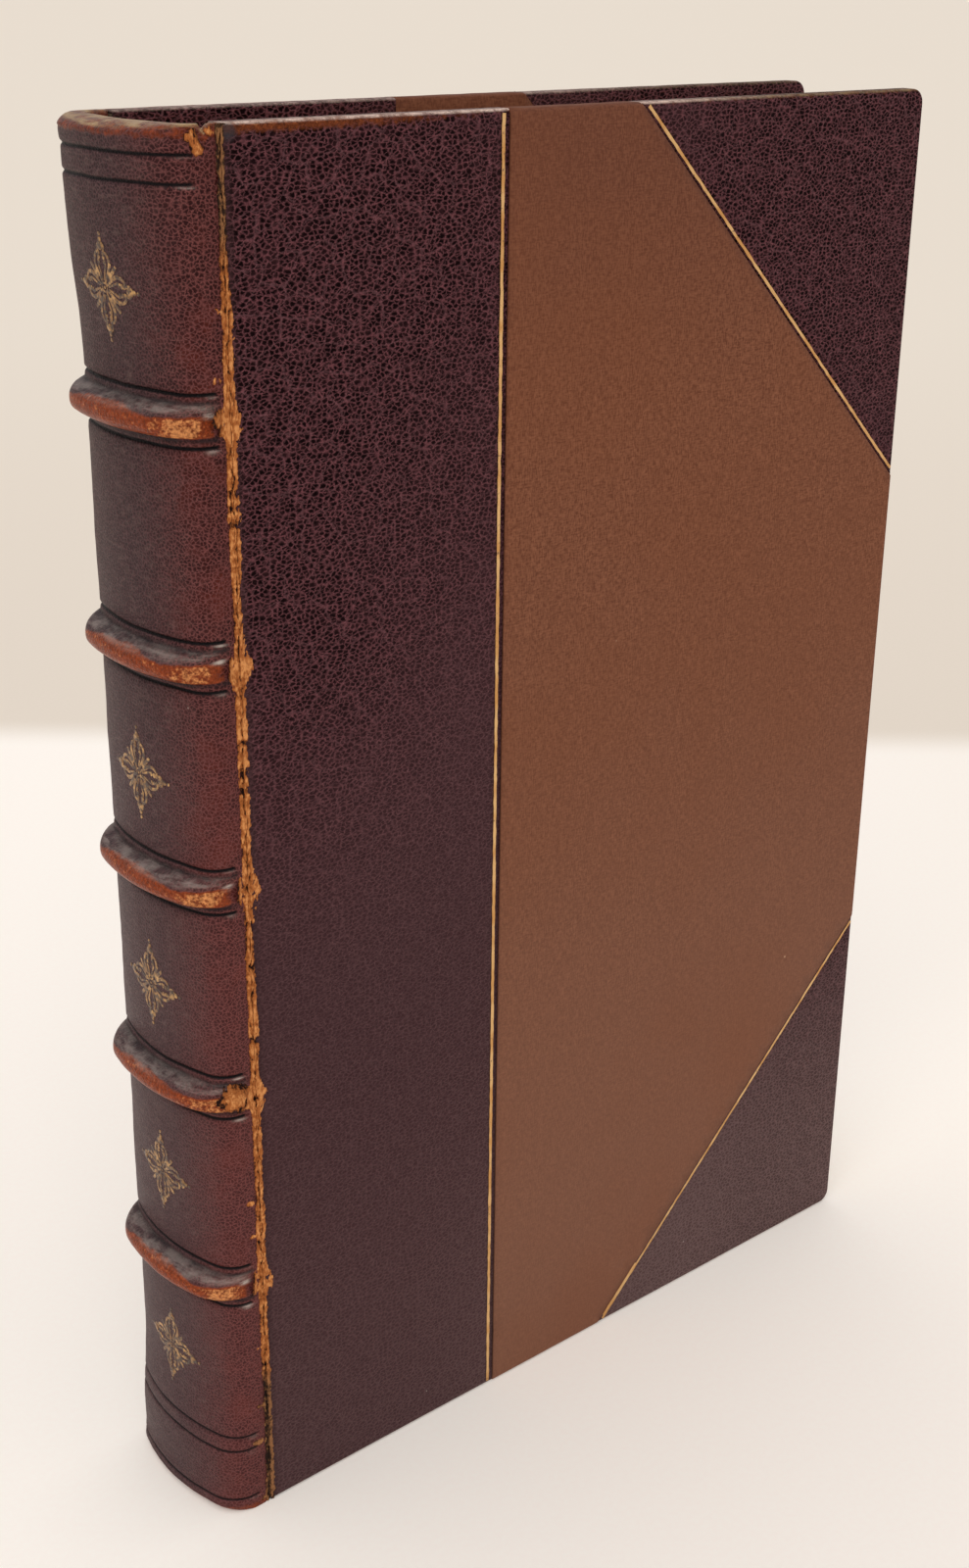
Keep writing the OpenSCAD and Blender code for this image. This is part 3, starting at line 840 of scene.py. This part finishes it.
leather_tray = tray(LEATHER_Y)
for side in ("front", "back"):
    strip = leather_tray.copy()
    edge = (JOINT_X + STRIP_W, 0, 0)
    cut(strip, edge, (1, 0, 0), clear=True)
    line_cuts(strip, edge, (-1, 0, 0), GILT_INSET)
    press(strip, lambda co: JOINT_X + STRIP_W - co.x, GILT_INSET)
    weather(strip, LEATHER_Y, 0.12 * MM, nick=side == "front")
    lay_on(f"{side}_strip_skin", strip, cover_skin, f"{side}_cover", f"{side}_leather",
           side == "back")
    for end in ("head", "tail"):
        head = end == "head"
        piece = leather_tray.copy()
        point, normal = from_corner(CORNER_LEG, head)
        cut(piece, point, -normal, clear=True)
        line_cuts(piece, point, normal, CORNER_INSET)
        press(piece, lambda co: corner_depth(co, CORNER_LEG, head), CORNER_INSET)
        weather(piece, LEATHER_Y, 0.10 * MM)
        lay_on(f"{side}_{end}_corner_skin", piece, cover_skin, f"{side}_cover",
               f"{side}_{end}_corner", side == "back")
leather_tray.free()

# The cloth of the covers: fine brown book cloth pasted over the leather's edges, with a close upright
# rib, a few darker slubs and pale specks. It is paler towards the tail and darker at the head.
cloth, tree, shader, place = material("book_cloth")
where = axes(tree, place)
upright = stretched(tree, place, (1, 1, 0.28))
level = stretched(tree, place, (0.25, 1, 1))
rib = cloud(tree, upright, 3700, 2, 0.6)
weft = cloud(tree, level, 3500, 2, 0.6)
slub = between(tree, cloud(tree, upright, 700, 3, 0.6), 0.40, 0.75)
weave = sums(tree, "ADD", times(tree, rib, 0.55), times(tree, weft, 0.45))
base = mix(tree, between(tree, weave, 0.36, 0.64), srgb(98, 54, 34), srgb(138, 87, 62))
base = mix(tree, times(tree, slub, 0.35), base, srgb(104, 60, 40))
low_part = between(tree, where["Z"], 0.0, 190 * MM, 0.6, 0.0)
base = mix(tree, low_part, base, srgb(130, 92, 74))
high_part = between(tree, where["Z"], 180 * MM, 228 * MM, 0.0, 0.45)
base = mix(tree, high_part, base, srgb(92, 52, 38))
stain = between(tree, cloud(tree, place, 18, 3), 0.4, 0.7, 0.0, 0.3)
base = mix(tree, stain, base, srgb(120, 68, 40))
specks = add(tree, "Group", {"Place": place, "Amount": 0.8}, node_tree=dust)
base = mix(tree, specks.outputs[0], base, srgb(190, 150, 120))
bumps = bumped(tree, weave, 0.08 * MM, 0.6)
feed(tree, shader, Base_Color=base, Roughness=0.82, Normal=bumps, Specular_IOR_Level=0.2)

cloth_tray = tray(CLOTH_Y)
for side in ("front", "back"):
    piece = cloth_tray.copy()
    cut(piece, (JOINT_X + STRIP_W, 0, 0), (-1, 0, 0), clear=True)
    for head in (True, False):
        point, normal = from_corner(CORNER_LEG, head)
        cut(piece, point, normal, clear=True)
    weather(piece, CLOTH_Y, 0.06 * MM)
    lay_on(f"{side}_cloth_side", piece, cloth, f"{side}_cover", f"{side}_cloth", side == "back")
cloth_tray.free()

# The worn joint at the front: the leather has rubbed through along the fold to its tan, felted inner
# fibres, wide at each band, torn at the head and split open near the tail. They lie in the fold.
# NOTCH and SPURS are places beside the joint, in millimetres from the crack and from the tail.
OPEN_BELOW = 28 * MM
THIN_ABOVE = 205 * MM
FIBRE_STEP = 0.19 * MM
FIBRE_T = 0.15 * MM
FIBRE_RISE = 0.36
SPINE_REACH = 6.4 * MM
BOARD_REACH = 3.6 * MM
NOTCH = [((4.1, 228.6), (3.2, 226.6), 0.75), ((1.6, 229.0), (1.1, 228.6), 0.6),
         ((0.9, 1.2), (0.2, 0.6), 0.8)]
SPURS = [(4.2, 83.6, 1.5), (2.4, 80.6, 1.2), (1.9, 62.0, 0.6), (1.7, 55.5, 0.5), (2.1, 196.0, 0.7),
         (1.6, 205.5, 0.6), (2.2, 13.8, 0.75), (1.4, 21.0, 0.5), (1.3, 33.0, 0.5), (2.7, 191.0, 1.0)]


def fibre_width(z, on_spine):
    """Width of the bare fibres beside the crack at a height, without their ragged edge."""
    at_band = max(bell(z - middle + 0.7 * MM, 2.4 * MM) for middle in BAND_Z)
    loose = 0.5 + 0.5 * waves(0, 3 * MM if on_spine else 9 * MM, z, 11 * MM)
    width = (0.40 + 0.92 * loose + (1.5 if on_spine else 1.35) * at_band) * MM
    width += ((0.22 + 0.35 * loose) * MM - width) * ease((z - THIN_ABOVE) / (9 * MM))
    if z < 44 * MM:
        width *= 0.62 + 0.25 * loose
    if z < OPEN_BELOW:
        torn = 0.55 + 0.5 * waves(1, 6, z, 5 * MM) if on_spine else 0.95
        width = torn * MM * ease((z + 2 * MM) / (5 * MM))
    return width


def in_capsule(x, z, start, end, radius):
    """How deep a point lies in a rounded bar from start to end, in radii."""
    line = Vector(end) - Vector(start)
    share = min(max((Vector((x, z)) - Vector(start)).dot(line) / line.length_squared, 0), 1)
    return 1 - (Vector((x, z)) - Vector(start) - line * share).length / radius


def fibre_relief(away, z, bare, on_spine):
    """Height of the felted fibres: strands, with the crack, splits and hollows sunk between them."""
    strand = abs(waves(away * 1.8, 2, z * 0.8, 0.62 * MM)) + 0.6 * waves(away * 1.4, 6, z, 1.1 * MM)
    off = 0.9 * MM * waves(3, 9, z, 3.2 * MM) * (1 if on_spine else -1)
    crack = bell(away + 0.15 * MM - off, 0.12 * MM) if off > 0 else 0.0
    if z < OPEN_BELOW:
        gape = (0.08 + 0.3 * waves(2, 7, z, 4 * MM)) * MM * (1 if on_spine else -1)
        crack = max(crack, 1.1 * bell(away + 0.1 * MM - gape, 0.17 * MM))
        strand *= 0.6
        split, hollow = 0.0, 0.0
    else:
        drift = (0.5 + 0.8 * waves(1, 1, z, 2.2 * MM)) * MM
        split = bell(away - drift, 0.12 * MM) * ease(0.1 + 2.2 * waves(4, 4, z, 3 * MM))
        hollow = ease((waves(away * 1.6, 12, z * 0.7, 1.1 * MM) - 0.34) / 0.15)
    rise = min(max(bare, -0.3), 1.0)
    return rise * (0.60 + 0.8 * strand) - 0.65 * crack - 0.5 * split - 0.7 * hollow


def on_spine_side(away, z, raised):
    """A place on the spine's side of the joint, raised from the leather and carried by the bands."""
    across = 1 - away / SPINE_WAY
    point, outward = spine_point(-across, swell(z))
    raised += 0.20 * MM * ease((away - 0.8 * MM) / (0.9 * MM))
    if abs(point.y) > SIDE_Y - 0.2 * MM:
        raised = min(raised, 0.05 * MM)
    raised += CAP_FLARE["head"] * ease((z - COVER_H + 4.8 * MM) / (2.6 * MM)) * ease((away / MM - 2) / 2)
    point += outward * raised
    band = BAND_PROUD * max(band_height(z - middle) for middle in BAND_Z)
    return point + outward * band * band_reach(across)


def fibres(name, body, on_spine):
    """Felted fibres beside the crack: a fine sheet that rises through the leather where it is bare."""
    reach = SPINE_REACH if on_spine else BOARD_REACH
    columns, height_steps = round(reach / FIBRE_STEP), round(COVER_H / FIBRE_STEP)
    bm = bmesh.new()
    bmesh.ops.create_grid(bm, x_segments=columns, y_segments=height_steps, size=0.5)
    layer = bm.verts.layers.float.new("fibre")
    sunk = []
    lobes = [((x - 0.9, at - 0.2), (x, at), radius) for x, at, radius in SPURS] + NOTCH if on_spine else []
    widths = {}
    for vert in bm.verts:
        away = (vert.co.x + 0.5) * reach - 0.17 * MM
        z = (vert.co.y + 0.5) * COVER_H
        row = round(z / FIBRE_STEP)
        if row not in widths:
            widths[row] = fibre_width(z, on_spine)
        close = [lobe for lobe in lobes if abs(lobe[0][1] * MM - z) < 4 * MM]
        in_lobe = max((in_capsule(away / MM, z / MM, *lobe) for lobe in close), default=-9)
        if away > widths[row] + 0.8 * MM and in_lobe < -0.6:
            sunk.append(vert)
            continue
        ragged = 0.34 * waves(away * 2, 0, z, 1.6 * MM) + 0.30 * waves(away * 2, 5, z, 0.55 * MM)
        thread = 0.25 * abs(waves(away * 3, 7, z, 0.42 * MM))
        bare = max((widths[row] - away) / (0.5 * MM) + ragged * 2.2 + thread, 1.6 * in_lobe + ragged * 2)
        relief = fibre_relief(away, z, bare, on_spine)
        vert[layer] = relief
        raised = min(FIBRE_RISE * relief - 0.26, 0.06) * MM
        if on_spine:
            point = on_spine_side(away, z, raised)
        else:
            point = Vector((JOINT_X + JOINT_HALF_GAP + away, -LEATHER_Y - raised))
        vert.co = (point.x, point.y, min(max(z, 0.1 * MM), COVER_H - 0.1 * MM))
        if bare < -0.3:
            sunk.append(vert)
    bmesh.ops.delete(bm, geom=sunk, context="VERTS")
    face_out(bm, (0, -1, 0))
    made = mesh_object(name, bm, bare_fibre)
    thicken(made, FIBRE_T)
    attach(made, body)


bare_fibre, tree, shader, place = material("bare_fibre")
relief = add(tree, "Attribute", attribute_name="fibre").outputs["Fac"]
height = axes(tree, place)["Z"]
strand = stretched(tree, place, (1, 1, 0.45))
tangle = cloud(tree, strand, 2400, 4, 0.7)
clump = cloud(tree, place, 1150, 2, 0.6)
# The tone follows the fibres' height over their own mottle: raised strands lighter, a painted highlight,
# and the crack and hollows near black, painted shade.
level = sums(tree, "ADD", relief, times(tree, sums(tree, "SUBTRACT", tangle, 0.5), 1.9))
level = sums(tree, "ADD", level, times(tree, sums(tree, "SUBTRACT", clump, 0.47), 1.5))
tone = mix(tree, between(tree, level, -0.15, 0.50), srgb(34, 14, 8), srgb(170, 98, 48))
tone = mix(tree, between(tree, level, 0.50, 1.25), tone, srgb(224, 152, 90))
dusty = sums(tree, "MAXIMUM", between(tree, height, 210 * MM, 217 * MM),
             between(tree, height, 24 * MM, 31 * MM, 1.0, 0.0))
beside = between(tree, axes(tree, place)["X"], JOINT_X - 1.0 * MM, JOINT_X - 0.6 * MM)
clean = sums(tree, "MAXIMUM", between(tree, height, 224 * MM, 227 * MM, 0.85, 0.0), beside)
dusty = times(tree, dusty, clean)
dull = mix(tree, between(tree, level, 0.0, 0.9), srgb(42, 27, 20), srgb(150, 103, 66))
tone = mix(tree, dusty, tone, dull)
bumps = bumped(tree, tangle, 0.35 * MM, 0.9)
feed(tree, shader, Base_Color=tone, Roughness=0.88, Normal=bumps, Specular_IOR_Level=0.15)

fibres("front_joint_fibres_spine", "book_block", True)
fibres("front_joint_fibres_board", "front_cover", False)

# The folds: the same leather runs from the spine on to each board, and inside it a strip of the
# endpaper's linen joint runs from the pages on to each cover.
inner_fold, tree, shader, place = material("joint_linen")
threads = add(tree, "TexWave", {"Vector": place, "Scale": 500, "Distortion": 1.0}, bands_direction="Z")
feed(tree, shader, Base_Color=mix(tree, threads.outputs["Fac"], srgb(66, 34, 30), srgb(92, 52, 44)),
     Roughness=0.85)


def fold(name, side, way, low, high, finish, thickness):
    """A strip along a joint; way is its section, as points in X and outward Y."""
    bm = bmesh.new()
    bmesh.ops.create_grid(bm, x_segments=len(way) - 1, y_segments=60, size=0.5)
    for vert in bm.verts:
        x, y = way[round((vert.co.x + 0.5) * (len(way) - 1))]
        vert.co = (x, side * y, low + (vert.co.y + 0.5) * (high - low))
    face_out(bm, (0, side, 0))
    bmesh.ops.solidify(bm, geom=bm.faces, thickness=thickness)
    bmesh.ops.recalc_face_normals(bm, faces=bm.faces)
    made = mesh_object(name, bm, finish)
    return made


leaf_low, leaf_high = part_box("front_flyleaf")
leaf_y = -leaf_low.y
for side, body, low in ((-1, "front_cover", OPEN_BELOW), (1, "back_cover", 0.4 * MM)):
    name = body.split("_")[0]
    outer = [(JOINT_X + x * MM, SIDE_Y - (0.42 if side < 0 else 0.12) * MM)
             for x in (-0.7, -0.4, -0.2, -0.15, -0.12, -0.09, -0.06, -0.03, 0, 0.03, 0.06, 0.09, 0.12, 0.15,
                       0.2, 0.5, 0.9)]
    hinge = fold(f"{name}_leather_fold", side, outer, low, COVER_H - 2.5 * MM,
                 spine_skin if side > 0 else bare_fibre, 0.3 * MM)
    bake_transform(hinge)
    gap = INNER_Y - leaf_y
    inner = [(JOINT_X + x * MM, leaf_y + 0.1 * gap) for x in (5.0, 3.0, 1.5, 0.6)]
    inner += [(JOINT_X + (0.45 - 0.15 * math.sin(math.pi * i / 16)) * MM,
               leaf_y + gap * (0.1 + 0.8 * i / 16)) for i in range(17)]
    inner += [(JOINT_X + x * MM, leaf_y + 0.9 * gap) for x in (0.6, 1.5, 3.0, 5.0)]
    joint = fold(f"{name}_paper_fold", side, inner, leaf_low.z, leaf_high.z, inner_fold,
                 0.02 * MM)
    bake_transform(joint)

# The gilding: gold leaf pressed into the leather with warm tools and rubbed thin here and there. The
# fillets are straight lines with slightly uneven edges; each flower is built from a tool's strokes.
GILT_WIDE = 0.54 * MM
GILT_T = 0.05 * MM
GILT_FACE = LEATHER_Y - 0.09 * MM
GILT_END = 0.6 * MM

gilt, tree, shader, place = material("rubbed_gilt")
flake = cloud(tree, place, 1500, 4, 0.65)
lost = between(tree, flake, 0.60, 0.70)
warm = between(tree, cloud(tree, place, 260, 2), 0.35, 0.65)
tone = mix(tree, warm, srgb(206, 150, 84), srgb(226, 182, 122))
tone = mix(tree, times(tree, lost, 0.75), tone, srgb(84, 50, 34))
feed(tree, shader, Base_Color=tone, Roughness=0.42, Metallic=between(tree, lost, 0.0, 1.0, 0.55, 0.0))


def join(into, made):
    """Adds one bmesh to another and frees it."""
    mesh = bpy.data.meshes.new("joined")
    made.to_mesh(mesh)
    made.free()
    into.from_mesh(mesh)
    bpy.data.meshes.remove(mesh)


def gilt_line(bm, start, end, width, face):
    """A straight line of gold leaf with slightly uneven edges, on the face of the front board."""
    strip = bmesh.new()
    way = Vector(end) - Vector(start)
    side = Vector((-way.y, way.x)).normalized()
    bmesh.ops.create_grid(strip, x_segments=round(way.length / (0.5 * MM)), y_segments=1, size=0.5)
    for vert in strip.verts:
        spot = Vector(start) + way * (vert.co.x + 0.5)
        spot += side * vert.co.y * width * (1 + 0.35 * waves(spot.x, spot.y, 9 * MM * vert.co.y, 1.3 * MM))
        vert.co = (spot.x, -face, spot.y)
    face_out(strip, (0, -1, 0))
    join(bm, strip)


for side in ("front", "back"):
    lines = bmesh.new()
    line_x = JOINT_X + STRIP_W - GILT_INSET
    gilt_line(lines, (line_x, GILT_END), (line_x, COVER_H - GILT_END), 1.12 * GILT_WIDE, GILT_FACE)
    for head in (True, False):
        point, normal = from_corner(CORNER_LEG, head)
        point = point + normal * CORNER_INSET
        near = point.x + abs(point.z - (COVER_H - GILT_END if head else GILT_END))
        far = FORE_X - GILT_END
        level = [point.z + (point.x - x) * (1 if head else -1) for x in (near, far)]
        gilt_line(lines, (near, level[0]), (far, level[1]), GILT_WIDE, GILT_FACE)
    if side == "front":
        gilt_line(lines, (JOINT_X + 79.3 * MM, 1.6 * MM), (JOINT_X + 87.8 * MM, 10.1 * MM), 0.4 * MM,
                  CLOTH_Y + 0.02 * MM)
    else:
        to_back(lines)
    made = mesh_object(f"{side}_gilt_lines", lines, gilt, smooth=False)
    thicken(made, GILT_T)
    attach(made, f"{side}_cover")
    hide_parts(f"{side}_gilt")

tooled, tree, shader, place = material("tooled_gilt")
flake = cloud(tree, place, 1300, 4, 0.65)
lost = between(tree, flake, 0.42, 0.58)
tone = mix(tree, between(tree, cloud(tree, place, 700, 2), 0.4, 0.7), srgb(136, 98, 58), srgb(198, 152, 95))
tone = mix(tree, times(tree, lost, 0.9), tone, srgb(48, 31, 27))
feed(tree, shader, Base_Color=tone, Roughness=0.4, Metallic=between(tree, lost, 0.0, 1.0, 0.3, 0.0))

STROKES = [
    ([(0.55, 0.35), (1.3, 0.7), (2.2, 1.3), (3.2, 1.72), (4.2, 1.62), (4.8, 1.05), (4.5, 0.6)], 0.52),
    ([(1.0, 0.18), (2.2, 0.55), (3.2, 0.9), (3.9, 0.75), (3.95, 0.45)], 0.38),
    ([(4.5, 0.35), (5.0, 0.62), (5.6, 0.75), (6.0, 0.55)], 0.45),
]
LEAVES = [((2.2, 0), (5.1, 0), 0.75), ((2.0, 0.15), (4.4, 1.2), 0.55)]
STUDS = [(4.15, 0.62, 0.40), (5.75, 0, 0.72), (6.50, 0, 0.42), (7.35, 0, 0.32), (3.45, 0.55, 0.24)]
FLOWER_Z = [207.6 * MM, 134.8 * MM, 98.7 * MM, 63.7 * MM, 28.5 * MM]


def spine_place(u, z, lift):
    """A point of the spine's face, u to the right of its middle as the front cover is seen."""
    point, outward = spine_point(-u / SPINE_WAY, swell(z))
    point += outward * (skin_lift(point, z) + lift)
    return point.x, point.y, z


def smooth_way(points, steps=5):
    """Points on a smooth curve through the given ones."""
    way = []
    for i in range(len(points) - 1):
        before, start, end, after = (Vector(points[min(max(j, 0), len(points) - 1)])
                                     for j in (i - 1, i, i + 1, i + 2))
        for step in range(steps + (i == len(points) - 2)):
            t = step / steps
            way.append(0.5 * (2 * start + (end - before) * t + (2 * before - 5 * start + 4 * end - after)
                              * t * t + (3 * start - before - 3 * end + after) * t ** 3))
    return way


def stroke(bm, way, width):
    """A flat raised stroke along the way, narrow at both ends."""
    band = bmesh.new()
    bmesh.ops.create_grid(band, x_segments=len(way) - 1, y_segments=2, size=0.5)
    for vert in band.verts:
        i = round((vert.co.x + 0.5) * (len(way) - 1))
        along = (way[min(i + 1, len(way) - 1)] - way[max(i - 1, 0)]).normalized()
        bulge = 0.45 + 0.55 * math.sin(math.pi * (0.12 + 0.76 * i / (len(way) - 1)))
        middle = 1 - abs(2 * vert.co.y)
        spot = way[i] + Vector((-along.y, along.x)) * vert.co.y * width * bulge
        vert.co = (spot.x, spot.y, 0.02 + 0.05 * middle)
    join(bm, band)


def stud(bm, x, y, radius):
    """A low round dome."""
    dome = bmesh.new()
    bmesh.ops.create_uvsphere(dome, u_segments=10, v_segments=6, radius=radius)
    bmesh.ops.scale(dome, vec=(1, 1, 0.16), verts=dome.verts)
    bmesh.ops.translate(dome, vec=(x, y, 0.02), verts=dome.verts)
    join(bm, dome)


arm = bmesh.new()
for start, end, width in LEAVES:
    for mirror in ((1, -1) if end[1] else (1,)):
        stroke(arm, smooth_way([(start[0], start[1] * mirror), (end[0], end[1] * mirror)], 6), width)
bmesh.ops.transform(arm, matrix=Matrix.Rotation(math.pi / 4, 4, "Z") @ Matrix.Scale(0.88, 4),
                    verts=arm.verts)
for mirror in (1, -1):
    for points, width in STROKES:
        stroke(arm, smooth_way([(x, y * mirror) for x, y in points]), width)
    for x, y, radius in STUDS:
        if y > 0 or mirror > 0:
            stud(arm, x, y * mirror, radius)
flower = bmesh.new()
for quarter in range(4):
    turned = arm.copy()
    bmesh.ops.transform(turned, matrix=Matrix.Rotation(math.pi / 2 * quarter, 4, "Z"), verts=turned.verts)
    join(flower, turned)
arm.free()
ring = [(0.62 * math.cos(a * math.pi / 4), 0.62 * math.sin(a * math.pi / 4)) for a in range(9)]
stroke(flower, smooth_way(ring, 3), 0.3)
stud(flower, 0, 0, 0.26)
flowers = bmesh.new()
for flower_z in FLOWER_Z:
    one = flower.copy()
    tilt = random.Random(round(flower_z / MM)).uniform(-0.035, 0.035)
    bmesh.ops.transform(one, matrix=Matrix.Rotation(tilt, 4, "Z"), verts=one.verts)
    for vert in one.verts:
        u, v, lift = vert.co
        vert.co = spine_place(u * MM, flower_z + v * MM, lift * MM)
    join(flowers, one)
flower.free()
bmesh.ops.recalc_face_normals(flowers, faces=flowers.faces)
flower_gilt = mesh_object("spine_flowers", flowers, tooled)
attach(flower_gilt, "book_block")
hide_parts("spine_gilt")

# The endbands: silk sewn in two colours over a core along the edge of the pages, at head and tail.
ENDBAND_R = 1.0 * MM
THREADS = 66

silk, tree, shader, place = material("endband_silk")
thread = add(tree, "Attribute", attribute_name="thread").outputs["Fac"]
tone = mix(tree, thread, srgb(120, 32, 30), srgb(206, 188, 150))
tone = mix(tree, between(tree, cloud(tree, place, 300, 3), 0.4, 0.7, 0.0, 0.4), tone, srgb(110, 84, 58))
feed(tree, shader, Base_Color=tone, Roughness=0.45, Sheen_Weight=0.3)

for end in ("head", "tail"):
    low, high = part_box(f"{end}_endband")
    middle_z = low.z + 0.95 * MM if end == "head" else high.z - 0.95 * MM
    roll = bmesh.new()
    bmesh.ops.create_grid(roll, x_segments=THREADS * 6, y_segments=12, size=0.5)
    layer = roll.verts.layers.float.new("thread")
    for vert in roll.verts:
        along, around = vert.co.x, vert.co.y * 2 * math.pi
        ridge = abs(math.sin(math.pi * (along + 0.5) * THREADS))
        radius = ENDBAND_R * (0.86 + 0.12 * ridge)
        point, outward = spine_point(along * 1.5, -2.5 * MM)
        point += outward * radius * math.cos(around)
        vert[layer] = math.floor((along + 0.5) * THREADS) % 2
        vert.co = (point.x, point.y, middle_z + radius * math.sin(around))
    bmesh.ops.remove_doubles(roll, verts=roll.verts, dist=0.001 * MM)
    bmesh.ops.holes_fill(roll, edges=[e for e in roll.edges if e.is_boundary])
    bmesh.ops.recalc_face_normals(roll, faces=roll.faces)
    band = mesh_object(f"{end}_silk_endband", roll, silk)
    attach(band, "book_block")
    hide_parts(f"{end}_endband")

# The endpapers: marbled sheets, one pasted inside each cover and one free beside the pages. The
# sheets are flat and plain in form, so the CAD solids stay and get the pattern.
marbled, tree, shader, place = material("marbled_paper")
where = axes(tree, place)
sheet = add(tree, "CombineXYZ", {"X": where["X"], "Y": where["Z"]}).outputs[0]
swirl = add(tree, "TexNoise", {"Vector": sheet, "Scale": 60, "Detail": 4}).outputs["Color"]
swirl = add(tree, "VectorMath", {0: swirl, "Scale": 0.014}, operation="SCALE").outputs[0]
drawn = add(tree, "VectorMath", {0: sheet, 1: swirl}, operation="ADD").outputs[0]
drops = add(tree, "TexVoronoi", {"Vector": drawn, "Scale": 170}, voronoi_dimensions="2D")
pick = add(tree, "SeparateColor", {0: drops.outputs["Color"]})
past_rim = sums(tree, "SUBTRACT", drops.outputs["Distance"],
                between(tree, pick.outputs["Blue"], 0.0, 1.0, 0.16, 0.44))
drop_tone = mix(tree, between(tree, pick.outputs["Red"], 0.60, 0.64), srgb(58, 62, 68), srgb(164, 124, 76))
ground = mix(tree, between(tree, cloud(tree, drawn, 420, 3), 0.40, 0.60), srgb(96, 42, 34),
             srgb(116, 62, 46))
tone = mix(tree, between(tree, past_rim, -0.03, 0.01, 1.0, 0.0), ground, drop_tone)
halo = between(tree, sums(tree, "ABSOLUTE", past_rim), 0.01, 0.06, 0.75, 0.0)
tone = mix(tree, halo, tone, srgb(196, 174, 138))
aged = between(tree, cloud(tree, place, 30, 3), 0.4, 0.8, 0.0, 0.35)
tone = mix(tree, aged, tone, srgb(120, 92, 66))
feed(tree, shader, Base_Color=tone, Roughness=0.5, Specular_IOR_Level=0.3)
for node in ("front_flyleaf", "back_flyleaf", "front_pastedown", "back_pastedown"):
    dress(node, marbled)
